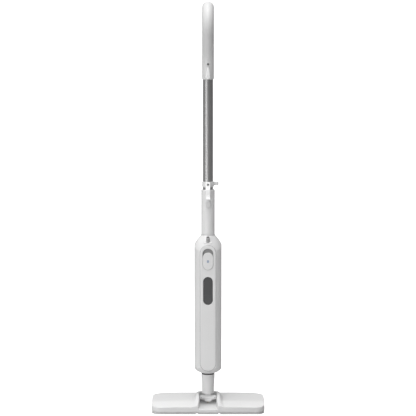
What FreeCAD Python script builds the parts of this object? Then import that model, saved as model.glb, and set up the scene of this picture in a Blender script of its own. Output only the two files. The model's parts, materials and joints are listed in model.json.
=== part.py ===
import FreeCAD, Part
import math
import os
import re
import Sketcher

# A corded flat-head steam mop. The origin is the middle of the head's underside, +Z is up,
# and the user stands on the -Y side, where the switch and the water window face.

doc = FreeCAD.newDocument("steam_mop")
sheet = doc.addObject("Spreadsheet::Sheet", "sizes")

SIZES = {
    # mop head
    "head_wide": 317, "head_front": 78, "head_back": 78, "plate_thick": 5, "cover_wall": 2.6,
    "front_edge_top": 20, "deck_top": 30, "front_corner": 26, "back_corner": 40,
    "channel_half": 24, "channel_front_half": 28, "channel_floor": 14, "channel_back": 19,
    "ridge_half": 36, "ear_half_deep": 10, "ear_top": 43.5, "groove_x": 31, "groove_half": 4.2,
    "hump_back": 56, "hose_y": 8, "steam_row_y": 20,
    # swivel joint
    "pitch_z": 31.2, "roll_z": 51, "cross_half_wide": 22.5, "cross_half_tall": 8, "cross_end_tall": 5.2,
    "tongue_half": 7.5, "tongue_half_deep": 5, "axle_radius": 2.5, "running_gap": 0.05, "bush_wall": 1.5,
    # stem and body
    "stem_bottom": 44.2, "stem_top": 99.5, "stem_low_radius": 16.5, "stem_top_radius": 19, "stem_wall": 2.6,
    "stem_sleeve": 15.4, "body_bottom": 103.5, "taper_top": 128.5, "shoulder_low": 448,
    "shoulder_round": 80, "body_top": 498,
    "body_end_radius": 20, "body_half_wide": 38, "body_half_deep": 37, "body_corner": 44,
    "face_half": 21.5, "side_flat": 8, "body_wall": 2.6,
    "panel_low": 115, "panel_high": 470.7, "panel_half": 21.5, "panel_proud": 0.8, "panel_seat": 1,
    "panel_gap": 0.9, "panel_border": 3,
    "slot_low": 401.8, "slot_high": 461.7, "slot_half": 15, "knob_high": 450.9, "switch_travel": 10,
    "lens_z": 425.9, "lens_radius": 2.85, "lens_half_tall": 4, "light_radius": 2.4,
    "window_low": 303, "window_high": 382.2, "window_half": 13.5,
    # inside the body
    "tank_low": 306, "tank_high": 390, "tank_half_wide": 26, "tank_half_deep": 22, "tank_wall": 1.8,
    "filler_z": 368, "filler_radius": 12, "cap_radius": 16.9, "plug_radius": 9.3, "plug_groove": 8,
    "pump_low": 242, "pump_high": 276, "pump_half": 15, "pump_half_deep": 12,
    "boiler_low": 144, "boiler_high": 212, "boiler_radius": 21,
    "board_low": 395, "board_high": 465, "board_y": 12.5, "board_thick": 1.6,
    "hose_radius": 4, "hose_bore": 2.2, "spigot_radius": 3, "spigot_bore": 2,
    "steam_radius": 3, "steam_bore": 1.8, "lead_radius": 1.3,
    # neck, tube and collars
    "neck_top": 624.3, "neck_radius": 18.75, "neck_wall": 3.5, "seam_gap": 0.5,
    "tube_radius": 14, "tube_wall": 1.2,
    "tube_low": 552, "tube_high": 986.6, "lower_collar_low": 631, "lower_collar_high": 646.5,
    "collar_radius": 16.5, "upper_collar_low": 930.8, "upper_collar_high": 946.6,
    # handle loop
    "grip_radius": 16.5, "grip_wall": 2.4, "lean_low": 994.6, "knee_radius": 80,
    "loop_radius": 55, "loop_y": 34.1, "loop_z": 1073.9, "rear_join_z": 963, "post_radius": 4.6,
    # buttons and hooks
    "upper_button_z": 973.6, "lower_button_z": 583.8, "button_travel": 2.5, "snap_radius": 2.9,
    "coil_radius": 1.9, "coil_wire": 0.35, "coil_back": -4, "coil_turns": 5,
    "upper_hook_z": 939, "hook_gap_out": 30.5, "lower_hook_low": 598, "hook_half": 6, "hook_pin_radius": 1.5,
    "clip_x": 24.2, "clip_round": 5, "clip_bore": 3,
    # cord gland
    "gland_y": 28.5, "gland_z": 478, "gland_tilt": 20,
    "gland_radius": 5.2, "gland_bore": 3.6, "gland_long": 17,
    # screws
    "screw_head": 3.2, "screw_high": 2, "screw_shank": 1.4, "cross_half_long": 1.9, "cross_half_slim": 0.4,
    "fit_gap": 0.15,
}
for row, (alias, number) in enumerate(SIZES.items(), start=1):
    sheet.set("A%d" % row, alias)
    sheet.set("B%d" % row, str(number))
    sheet.setAlias("B%d" % row, alias)
doc.recompute()

parts = []
WORDS = re.compile(r"\b(" + "|".join(SIZES) + r")\b")


# ---------------------------------------------------------------- helpers
def bound(text):
    """The expression with each size name pointed at its cell."""
    return WORDS.sub(r"sizes.\1", str(text))


def value(text):
    """The number that an expression stands for now."""
    result = sheet.evalExpression(bound(text))
    return float(getattr(result, "Value", result))


def set_place(thing, x, y, z):
    """Binds an object's position to three expressions."""
    for letter, text in zip("xyz", (x, y, z)):
        thing.setExpression(".Placement.Base." + letter, bound(text))


TURNS = {
    "X": FreeCAD.Rotation(FreeCAD.Vector(0, 1, 0), 90),
    "Y": FreeCAD.Rotation(FreeCAD.Vector(1, 0, 0), -90),
    "Z": FreeCAD.Rotation(),
}


def box(name, x, y, z):
    """A block between (low, high) pairs."""
    thing = doc.addObject("Part::Box", name)
    for side, (low, high) in zip(("Length", "Width", "Height"), (x, y, z)):
        thing.setExpression(side, bound("(%s) - (%s)" % (high, low)))
    set_place(thing, x[0], y[0], z[0])
    return thing


def cylinder(name, radius, low, high, axis="Z", at=(0, 0)):
    """A round bar along an axis; at gives its place on the other two axes in X, Y, Z order."""
    thing = doc.addObject("Part::Cylinder", name)
    thing.setExpression("Radius", bound(radius))
    thing.setExpression("Height", bound("(%s) - (%s)" % (high, low)))
    thing.Placement = FreeCAD.Placement(FreeCAD.Vector(), TURNS[axis])
    place = {"X": (low, at[0], at[1]), "Y": (at[0], low, at[1]), "Z": (at[0], at[1], low)}[axis]
    set_place(thing, *place)
    return thing


def fuse(name, things, refine=True):
    """Joins things; refine merges faces that carry on into each other."""
    if len(things) == 1:
        return things[0]
    result = doc.addObject("Part::MultiFuse", name)
    result.Shapes = things
    result.Refine = refine
    return result


def cut(name, base, *tools, refine=True):
    result = doc.addObject("Part::Cut", name)
    result.Base = base
    result.Tool = fuse(name + "_tools", list(tools), refine)
    result.Refine = refine
    return result


def common(name, first, second, refine=True):
    result = doc.addObject("Part::Common", name)
    result.Base = first
    result.Tool = second
    result.Refine = refine
    return result


def group(name, things):
    """Identical fasteners stay separate solids in one node."""
    result = doc.addObject("Part::Compound", name)
    result.Links = things
    return result


def fillet(name, base, radius, chosen):
    """Rounds the edges that the test picks."""
    doc.recompute()
    result = doc.addObject("Part::Fillet", name)
    result.Base = base
    picked = [i for i, edge in enumerate(base.Shape.Edges, start=1) if chosen(edge)]
    result.Edges = [(i, value(radius), value(radius)) for i in picked]
    return result


def part(thing, label):
    """Marks a finished piece; its label is its file's name."""
    thing.Label = label
    parts.append(thing)
    return thing


def arc_middle(start, end, radius):
    """The middle of an arc that bulges to the right of start to end (left for a minus radius)."""
    chord = FreeCAD.Vector(end[0] - start[0], end[1] - start[1], 0)
    half = chord.Length / 2
    depth = abs(radius) - math.sqrt(max(radius * radius - half * half, 0))
    side = FreeCAD.Vector(chord.y, -chord.x, 0).normalize() * (depth if radius > 0 else -depth)
    return FreeCAD.Vector((start[0] + end[0]) / 2, (start[1] + end[1]) / 2, 0) + side


def outline(body, plane, corners, offset="0", closed=True):
    """A sketch whose corners are bound to the sheet.

    A corner is (x, y) or (x, y, radius): with a radius, the edge to the next corner is an arc.
    """
    sketch = body.newObject("Sketcher::SketchObject", body.Name + "_outline")
    support = [o for o in body.Origin.OriginFeatures if o.Role == plane + "_Plane"][0]
    sketch.AttachmentSupport = [(support, "")]
    sketch.MapMode = "FlatFace"
    sketch.setExpression(".AttachmentOffset.Base.z", bound(offset))
    spots = [(value(c[0]), value(c[1])) for c in corners]
    edges = len(corners) if closed else len(corners) - 1
    for i in range(edges):
        start = spots[i]
        end = spots[(i + 1) % len(spots)]
        first = FreeCAD.Vector(start[0], start[1], 0)
        last = FreeCAD.Vector(end[0], end[1], 0)
        if len(corners[i]) > 2:
            middle = arc_middle(start, end, value(corners[i][2]))
            sketch.addGeometry(Part.Arc(first, middle, last))
        else:
            sketch.addGeometry(Part.LineSegment(first, last))
    ends = []
    for i in range(edges):
        flipped = False
        if len(corners[i]) > 2:
            start_point = sketch.getPoint(i, 1)
            flipped = math.hypot(start_point.x - spots[i][0], start_point.y - spots[i][1]) > 1e-4
        ends.append((2, 1) if flipped else (1, 2))
    for i in range(edges):
        if closed or i < edges - 1:
            after = (i + 1) % edges
            sketch.addConstraint(Sketcher.Constraint("Coincident", i, ends[i][1], after, ends[after][0]))
    for i, corner in enumerate(corners):
        edge, end = (i, ends[i][0]) if i < edges else (i - 1, ends[i - 1][1])
        for kind, text, now in (("DistanceX", corner[0], spots[i][0]), ("DistanceY", corner[1], spots[i][1])):
            index = sketch.addConstraint(Sketcher.Constraint(kind, -1, 1, edge, end, now))
            sketch.setExpression("Constraints[%d]" % index, bound(text))
    for i in range(edges):
        if len(corners[i]) > 2:
            shape_arc(sketch, i, corners[i], corners[(i + 1) % len(corners)])
    return sketch


def shape_arc(sketch, edge, corner, following):
    """Binds an arc's radius, or for a half circle, whose radius its ends already fix, its centre."""
    chord = math.hypot(value(following[0]) - value(corner[0]), value(following[1]) - value(corner[1]))
    radius = abs(value(corner[2]))
    if radius - chord / 2 > 0.001:
        index = sketch.addConstraint(Sketcher.Constraint("Radius", edge, radius))
        sketch.setExpression("Constraints[%d]" % index, bound("abs(%s)" % corner[2]))
        return
    upright = abs(value(following[1]) - value(corner[1])) > abs(value(following[0]) - value(corner[0]))
    side = 0 if upright else 1
    middle = "((%s) + (%s)) / 2" % (corner[side], following[side])
    kind = "DistanceX" if upright else "DistanceY"
    index = sketch.addConstraint(Sketcher.Constraint(kind, -1, 1, edge, 3, value(middle)))
    sketch.setExpression("Constraints[%d]" % index, bound(middle))


def prism(name, plane, corners, low, high):
    """A pad of an outline, from low to high along X, Y or Z."""
    body = doc.addObject("PartDesign::Body", name)
    offset = "-(%s)" % high if plane == "XZ" else low
    sketch = outline(body, plane, corners, offset)
    pad = body.newObject("PartDesign::Pad", name + "_pad")
    pad.Profile = sketch
    pad.setExpression("Length", bound("(%s) - (%s)" % (high, low)))
    return body


def turned(name, corners, plane="XZ", axis="V_Axis"):
    """A full turn of an outline about the sketch's own axis."""
    body = doc.addObject("PartDesign::Body", name)
    sketch = outline(body, plane, corners)
    feature = body.newObject("PartDesign::Revolution", name + "_turn")
    feature.Profile = sketch
    feature.ReferenceAxis = (sketch, [axis])
    feature.Angle = 360
    return body


def rounded(x_low, x_high, y_low, y_high, r):
    """A rectangle with four round corners; a stadium when r is half its width."""
    return [
        ("(%s)+(%s)" % (x_low, r), y_low), ("(%s)-(%s)" % (x_high, r), y_low, r),
        (x_high, "(%s)+(%s)" % (y_low, r)), (x_high, "(%s)-(%s)" % (y_high, r), r),
        ("(%s)-(%s)" % (x_high, r), y_high), ("(%s)+(%s)" % (x_low, r), y_high, r),
        (x_low, "(%s)-(%s)" % (y_high, r)), (x_low, "(%s)+(%s)" % (y_low, r), r),
    ]


def stadium(half, low, high):
    """An upright slot shape, centred on x = 0."""
    return [
        (half, "(%s)+(%s)" % (low, half)), (half, "(%s)-(%s)" % (high, half), half),
        ("-(%s)" % half, "(%s)-(%s)" % (high, half)), ("-(%s)" % half, "(%s)+(%s)" % (low, half), half),
    ]


def pipe(name, points, radius, bend, bore):
    """A hose, pipe or lead along straight runs joined by tangent arcs, from numbers off the sheet."""
    spots = [FreeCAD.Vector(*p) for p in points]
    edges = []
    here = spots[0]
    for before, corner, after in zip(spots, spots[1:], spots[2:]):
        way_in = (corner - before).normalize()
        way_out = (after - corner).normalize()
        turn = way_in.getAngle(way_out)
        reach = bend * math.tan(turn / 2)
        start = corner - way_in * reach
        end = corner + way_out * reach
        centre = corner + (way_out - way_in).normalize() * (bend / math.cos(turn / 2))
        middle = centre + (corner - centre).normalize() * bend
        edges.append(Part.LineSegment(here, start).toShape())
        edges.append(Part.Arc(start, middle, end).toShape())
        here = end
    edges.append(Part.LineSegment(here, spots[-1]).toShape())
    path = Part.Wire(edges)
    heading = spots[1] - spots[0]

    def sweep(size):
        ring = Part.Wire([Part.makeCircle(size, spots[0], heading)])
        return path.makePipeShell([ring], True, False)

    thing = doc.addObject("Part::Feature", name)
    solid = sweep(radius)
    thing.Shape = solid.cut(sweep(bore)) if bore else solid
    return thing


def screw(name, long, spot, axis, sign):
    """A pan-head screw with a cross recess; sign says which way along the axis its head faces."""
    high = value("screw_high")
    low, high = (0, high) if sign > 0 else (-high, 0)
    shank_low, shank_high = (-long, 0.2) if sign > 0 else (-0.2, long)
    order = {"X": (1, 2), "Y": (0, 2), "Z": (0, 1)}[axis]
    along = "XYZ".index(axis)
    side = [spot[order[0]], spot[order[1]]]
    shift = spot[along]
    head_ends = ("%s+(%s)" % (shift, low), "%s+(%s)" % (shift, high))
    shank_ends = ("%s+(%s)" % (shift, shank_low), "%s+(%s)" % (shift, shank_high))
    head = cylinder(name + "_head", "screw_head", *head_ends, axis, side)
    shank = cylinder(name + "_shank", "screw_shank", *shank_ends, axis, side)
    solid = fuse(name + "_solid", [head, shank])
    face = high if sign > 0 else low
    slots = []
    for number, halves in enumerate((("cross_half_long", "cross_half_slim"),
                                     ("cross_half_slim", "cross_half_long"))):
        spans = [None, None, None]
        depth = sorted((face + 0.1 * sign, face - 1.0 * sign))
        spans[along] = ("%s+(%s)" % (shift, depth[0]), "%s+(%s)" % (shift, depth[1]))
        for way, middle, half in zip(order, side, halves):
            spans[way] = ("%s-%s" % (middle, half), "%s+%s" % (middle, half))
        slots.append(box("%s_slot_%d" % (name, number), *spans))
    return cut(name, solid, *slots)


def spring(name, radius, wire, low, high, turns, at):
    """A compression coil along Y, from low to high."""
    helix = doc.addObject("Part::Helix", name + "_helix")
    helix.setExpression("Radius", bound(radius))
    helix.setExpression("Height", bound("(%s) - (%s)" % (high, low)))
    helix.setExpression("Pitch", bound("((%s) - (%s)) / %s" % (high, low, turns)))
    helix.Placement = FreeCAD.Placement(FreeCAD.Vector(), TURNS["Y"])
    set_place(helix, at[0], low, at[1])
    ring = doc.addObject("Part::Circle", name + "_wire")
    ring.setExpression("Radius", bound(wire))
    ring.Placement = FreeCAD.Placement(FreeCAD.Vector(), TURNS["Z"])
    set_place(ring, "%s + (%s)" % (at[0], radius), low, at[1])
    doc.recompute()
    start = helix.Shape.Edges[0]
    ring.Placement.Rotation = FreeCAD.Rotation(FreeCAD.Vector(0, 0, 1), start.tangentAt(start.FirstParameter))
    sweep = doc.addObject("Part::Sweep", name)
    sweep.Sections = [ring]
    sweep.Spine = (helix, ["Edge%d" % (i + 1) for i in range(len(helix.Shape.Edges))])
    sweep.Solid = True
    sweep.Frenet = True
    return sweep


# ---------------------------------------------------------------- mop head
def head_outline(inset):
    """The head's plan: soft front corners and rounder back ones."""
    half = "(head_wide/2 - %s)" % inset
    front = "(head_front - %s)" % inset
    back = "(head_back - %s)" % inset
    small = "(front_corner - %s)" % inset
    large = "(back_corner - %s)" % inset
    return [
        ("-%s+%s" % (half, small), "-%s" % front), ("%s-%s" % (half, small), "-%s" % front, small),
        (half, "-%s+%s" % (front, small)), (half, "%s-%s" % (back, large), large),
        ("%s-%s" % (half, large), back), ("-%s+%s" % (half, large), back, large),
        ("-%s" % half, "%s-%s" % (back, large)), ("-%s" % half, "-%s+%s" % (front, small), small),
    ]


def head_volume(name, inset, low, drop):
    """The cover's outer form, or with an inset the hollow under it."""
    plan = prism(name + "_plan", "XY", head_outline(inset), low, 60)
    side = prism(name + "_side", "YZ", [
        ("-head_front-5", low), ("head_back+5", low), ("head_back+5", "deck_top-9-%s" % drop, 20),
        ("head_back-10", "deck_top-1.5-%s" % drop, 900),
        ("-40", "deck_top-1-%s" % drop, 130), ("-head_front-5", "front_edge_top-1.5-%s" % drop),
    ], "-head_wide", "head_wide")
    return common(name, plan, side)


def is_top_rim(edge):
    """The edge where the deck meets the side wall."""
    spots = [edge.valueAt(edge.FirstParameter + f * (edge.LastParameter - edge.FirstParameter))
             for f in (0.1, 0.5, 0.9)]
    half = value("head_wide/2")
    front = value("head_front")
    back = value("head_back")
    corner = value("back_corner")
    for spot in spots:
        if spot.z < value("plate_thick") + 4:
            return False
        near_side = abs(abs(spot.x) - half) < 0.05 or abs(spot.y + front) < 0.05 or abs(spot.y - back) < 0.05
        near_corner = abs(spot.x) > half - corner and (spot.y > back - corner or spot.y < corner - front)
        if not (near_side or near_corner):
            return False
    return abs(spots[0].z - spots[2].z) < 7 and edge.BoundBox.XLength + edge.BoundBox.YLength > 1


def make_head_cover():
    outer = fillet("deck_round", head_volume("deck", "0", "plate_thick+0.3", "0"), 4, is_top_rim)
    hollow = head_volume("deck_hollow", "cover_wall", "plate_thick-1", "cover_wall")
    ridges = []
    for name, side in (("left_ridge", -1), ("right_ridge", 1)):
        ridge_side = prism(name, "YZ", [
            ("-head_front+1", "plate_thick+0.3"),
            ("hump_back", "plate_thick+0.3"), ("hump_back", "deck_top-3"),
            ("channel_back+5", "ear_top-4", 60), ("ear_half_deep", "ear_top"),
            ("-ear_half_deep", "ear_top", 16),
            ("-ear_half_deep-10", "deck_top+2"), ("-head_front+1", "front_edge_top+1"),
        ], "channel_half" if side > 0 else "-ridge_half-6", "ridge_half+6" if side > 0 else "-channel_half")
        ridges.append(ridge_side)
    hump = prism("back_hump", "YZ", [
        ("channel_back", "plate_thick+0.3"), ("hump_back", "plate_thick+0.3"), ("hump_back", "deck_top-3"),
        ("channel_back+5", "ear_top-4", 60), ("channel_back", "ear_top-4.2"),
    ], "-channel_half-1", "channel_half+1")
    ridge_plan = prism("ridge_plan", "XY", [
        ("-ridge_half-3", "-head_front"), ("ridge_half+3", "-head_front"), ("ridge_half+6", "10"),
        ("ridge_half+2", "hump_back-8"), ("ridge_half-8", "hump_back"), ("-ridge_half+8", "hump_back"),
        ("-ridge_half-2", "hump_back-8"), ("-ridge_half-6", "10"),
    ], "0", "60")
    crest = prism("crest", "XZ", [
        ("-ridge_half-9", "0"), ("ridge_half+9", "0"), ("ridge_half+9", "deck_top-12"),
        ("ridge_half+1", "ear_top+1"), ("-ridge_half-1", "ear_top+1"), ("-ridge_half-9", "deck_top-12"),
    ], "-head_front", "head_back")
    shaped = common("ridge_shape", common("ridge_trim", fuse("ridges", ridges + [hump]), ridge_plan), crest)
    channel = prism("channel", "XY", [
        ("-channel_front_half", "-head_front-2"), ("channel_front_half", "-head_front-2"),
        ("channel_half", "-head_front+36"), ("channel_half", "channel_back-8"),
        ("channel_half-8", "channel_back"), ("-channel_half+8", "channel_back"),
        ("-channel_half", "channel_back-8"), ("-channel_half", "-head_front+36"),
    ], "channel_floor", "70")
    under_channel = box("under_channel", ("-channel_half-4", "channel_half+4"),
                        ("-head_front-1", "channel_back+4"), ("plate_thick-2", "70"))
    solid_hollow = cut("cover_hollow", hollow, under_channel)
    belly = box("channel_belly", ("-channel_half+2", "channel_half-2"), ("-head_front+4", "channel_back-2"),
                ("0", "channel_floor-cover_wall"))
    axle_hole = cylinder("axle_hole", "axle_radius+0.02", "-ridge_half+3", "ridge_half-3", "X",
                         ("0", "pitch_z"))
    hose_hole = cylinder("hose_hole", 5, "channel_floor-6", "channel_floor+4", "Z", ("0", "hose_y"))
    shell = cut("cover_shell", outer, solid_hollow)
    whole = fuse("cover_whole", [shell, shaped])
    bosses = []
    for number, (x, y) in enumerate(HEAD_SCREWS):
        bosses.append(cylinder("cover_boss_%d" % number, 4, "plate_thick+0.3", "deck_top", "Z", (x, y)))
    for number, (x, y) in enumerate(HEAD_SCREWS):
        bosses.append(box("cover_rib_%d" % number, (x + "-1", x + "+1"), (y + "-12", y + "+12"),
                          ("plate_thick+3", "deck_top")))
    pilots = [cylinder("cover_pilot_%d" % number, "screw_shank+0.05", "0", "plate_thick+9", "Z", (x, y))
              for number, (x, y) in enumerate(HEAD_SCREWS)]
    braced = fuse("cover_braced", [whole, common("cover_bosses", fuse("boss_set", bosses), outer)])
    part(cut("cover_cut", braced, channel, belly, axle_hole, hose_hole, *pilots), "head_cover")


HEAD_SCREWS = [("-128", "-48"), ("128", "-48"), ("-128", "44"), ("128", "44"), ("-60", "44"), ("60", "44")]
STEAM_HOLES = ["-18", "-9", "0", "9", "18"]


def make_base_plate():
    plate = prism("plate", "XY", head_outline("1.2"), "0", "plate_thick")
    tools = []
    for side, word in ((-1, "left"), (1, "right")):
        centre = "%s*groove_x" % side
        tools.append(prism(word + "_groove", "XZ", [
            (centre + "-groove_half", "-1"), (centre + "+groove_half", "-1"),
            (centre + "+groove_half-1.8", "plate_thick-1.1"),
            (centre + "-groove_half+1.8", "plate_thick-1.1"),
        ], "-head_front-2", "head_back+2"))
    for number, (x, y) in enumerate(HEAD_SCREWS):
        tools.append(cylinder("plate_sink_%d" % number, "screw_head+0.3", "-1", "2.6", "Z", (x, y)))
        name = "plate_hole_%d" % number
        tools.append(cylinder(name, "screw_shank+0.2", "-1", "plate_thick+1", "Z", (x, y)))
    for number, x in enumerate(STEAM_HOLES):
        tools.append(cylinder("steam_hole_%d" % number, 1.6, "-1", "plate_thick+1", "Z", (x, "-steam_row_y")))
    for number, (x_low, x_high, y_low, y_high) in enumerate(STRIP_PLACES):
        tools.append(box("strip_seat_%d" % number, (x_low + "-0.4", x_high + "+0.4"),
                         (y_low + "-0.4", y_high + "+0.4"), ("-1", "1.4")))
    part(cut("plate_cut", plate, *tools), "base_plate")


STRIP_PLACES = [
    ("-104", "-48", "-66", "-42"), ("48", "104", "-66", "-42"),
    ("-104", "-48", "54", "72"), ("48", "104", "54", "72"),
]


def make_hook_strips():
    strips = [box("strip_%d" % number, (place[0], place[1]), (place[2], place[3]), ("0.2", "1.4"))
              for number, place in enumerate(STRIP_PLACES)]
    part(group("strips", strips), "hook_and_loop_strips")


def make_head_screws():
    screws = [screw("head_screw_%d" % number, 9, (x, y, "2.6"), "Z", -1)
              for number, (x, y) in enumerate(HEAD_SCREWS)]
    part(group("head_screw_group", screws), "head_screws")


def make_steam_manifold():
    block = prism("manifold_block", "XY", rounded("-21", "21", "-27", "12", "4"), "plate_thick", "11.2")
    chamber = box("manifold_chamber", ("-19", "19"), ("-25", "10"), ("plate_thick-1", "9.6"))
    bore = cylinder("manifold_bore", "spigot_bore", "9", "12", "Z", ("0", "hose_y"))
    part(cut("manifold", block, chamber, bore), "steam_manifold")


def make_head_hose():
    hose_y = value("hose_y")
    ends = [(0, hose_y, 11.3), (0, hose_y, value("pitch_z-13.8"))]
    thing = pipe("head_hose_pipe", ends, value("steam_radius+0.2"), 5, value("steam_bore"))
    part(thing, "head_hose")


# ---------------------------------------------------------------- swivel joint
def make_pitch_axle():
    part(cylinder("pitch_axle_bar", "axle_radius", "-ridge_half+4", "ridge_half-4", "X", ("0", "pitch_z")),
         "pitch_axle")


def make_crosspiece():
    half = "cross_half_wide"
    tall = "cross_half_tall"
    end = "cross_end_tall"
    swell = "(%s-%s)" % (tall, end)
    bulge = "(%s*%s + %s*%s) / (2*%s)" % (half, half, swell, swell, swell)
    barrel = turned("cross_barrel", [
        ("-" + half, "0"), (half, "0"), (half, end, bulge), ("-" + half, end),
    ], "XZ", "H_Axis")
    set_place(barrel, "0", "0", "pitch_z")
    tongue = prism("cross_tongue", "XZ", [
        ("-tongue_half", "pitch_z"), ("tongue_half", "pitch_z"),
        ("tongue_half", "roll_z+1"), ("-tongue_half", "roll_z+1"),
    ], "-tongue_half_deep", "tongue_half_deep")
    eye = cylinder("cross_eye", "tongue_half", "-tongue_half_deep", "tongue_half_deep", "Y", ("0", "roll_z"))
    chin = prism("cross_chin", "XZ", [
        ("-11", "pitch_z-6.4"), ("-7", "pitch_z-10.5"), ("7", "pitch_z-10.5"), ("11", "pitch_z-6.4"),
        ("9", "pitch_z"), ("-9", "pitch_z"),
    ], "-7", "-1")
    solid = fuse("cross_solid", [barrel, tongue, eye, chin])
    axle = cylinder("cross_axle_hole", "axle_radius+bush_wall",
                    "-cross_half_wide-1", "cross_half_wide+1", "X", ("0", "pitch_z"))
    pin = cylinder("cross_pin_hole", "axle_radius+running_gap", "-tongue_half_deep-1",
                   "tongue_half_deep+1", "Y", ("0", "roll_z"))
    eyes = [cylinder("cross_dimple_%d" % number, 2, "-12", "-axle_radius-2.3", "Y", (x, "pitch_z"))
            for number, x in enumerate(("-19.4", "19.4"))]
    part(cut("cross_cut", solid, axle, pin, *eyes), "crosspiece")


def make_cross_bushes():
    bushes = []
    for number, (low, high) in enumerate((("-cross_half_wide", "-cross_half_wide+14"),
                                          ("cross_half_wide-14", "cross_half_wide"))):
        outer = cylinder("bush_outer_%d" % number, "axle_radius+bush_wall", low, high, "X", ("0", "pitch_z"))
        bore = cylinder("bush_bore_%d" % number, "axle_radius+running_gap", low + "-1", high + "+1", "X",
                        ("0", "pitch_z"))
        bushes.append(cut("bush_%d" % number, outer, bore))
    part(group("bushes", bushes), "pitch_bushes")


def make_roll_pin():
    part(cylinder("roll_pin_bar", "axle_radius", "-stem_low_radius+1.2", "stem_low_radius-1.2", "Y",
                  ("0", "roll_z")), "roll_pin")


def make_stem():
    wall = turned("stem_wall_turn", [
        ("stem_low_radius-stem_wall", "stem_bottom"), ("stem_low_radius-0.8", "stem_bottom"),
        ("stem_low_radius", "stem_bottom+0.8"), ("stem_top_radius", "stem_top-1"),
        ("stem_top_radius-0.8", "stem_top"), ("stem_sleeve", "stem_top"), ("stem_sleeve", "body_bottom+14"),
        ("stem_sleeve-2.4", "body_bottom+14"), ("stem_sleeve-2.4", "stem_top-4"),
        ("stem_low_radius-stem_wall", "roll_z+14"),
    ])
    pin = cylinder("stem_pin_hole", "axle_radius+0.02", "-stem_low_radius+1.1", "stem_low_radius-1.1", "Y",
                   ("0", "roll_z"))
    part(cut("stem_cut", wall, pin), "stem")


def make_stem_seal():
    part(turned("seal_turn", [
        ("stem_sleeve+0.1", "stem_top+0.05"), ("stem_top_radius-1", "stem_top+0.05"),
        ("stem_top_radius-1", "body_bottom-0.05"), ("stem_sleeve+0.1", "body_bottom-0.05"),
    ]), "stem_seal")


# ---------------------------------------------------------------- body
def body_section(inset):
    """Flat front and back faces joined by round flanks."""
    wide = "(body_half_wide-%s)" % inset
    deep = "(body_half_deep-%s)" % inset
    run = "(%s-face_half)" % wide
    rise = "(%s-side_flat)" % deep
    bend = "(%s*%s+%s*%s)/(2*%s)" % (run, run, rise, rise, run)
    return [
        ("-face_half", "-" + deep), ("face_half", "-" + deep, bend),
        (wide, "-side_flat"), (wide, "side_flat", bend),
        ("face_half", deep), ("-face_half", deep, bend),
        ("-" + wide, "side_flat"), ("-" + wide, "-side_flat", bend),
    ]


def body_volume(name, inset):
    """The section run up the body and rounded in to the stem and the neck."""
    low, high = "body_bottom+%s" % inset, "body_top-%s" % inset
    column = prism(name + "_column", "XY", body_section(inset), low, high)
    edge = "(body_corner-%s)" % inset
    end = "(body_end_radius-%s)" % inset
    envelope = turned(name + "_envelope", [
        ("0", "body_bottom+%s" % inset), (end, "body_bottom+%s" % inset, "34"),
        (edge, "taper_top+%s*0.4" % inset),
        (edge, "shoulder_low-%s*0.4" % inset, "shoulder_round"),
        (end + "+0.6", "body_top-3.4-%s*0.4" % inset, "-6"),
        (end, "body_top-%s" % inset), ("0", "body_top-%s" % inset),
    ])
    return common(name, column, envelope)


BODY_SCREWS = [(x, z) for z in ("137", "296", "447") for x in ("-24", "24")]


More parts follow.
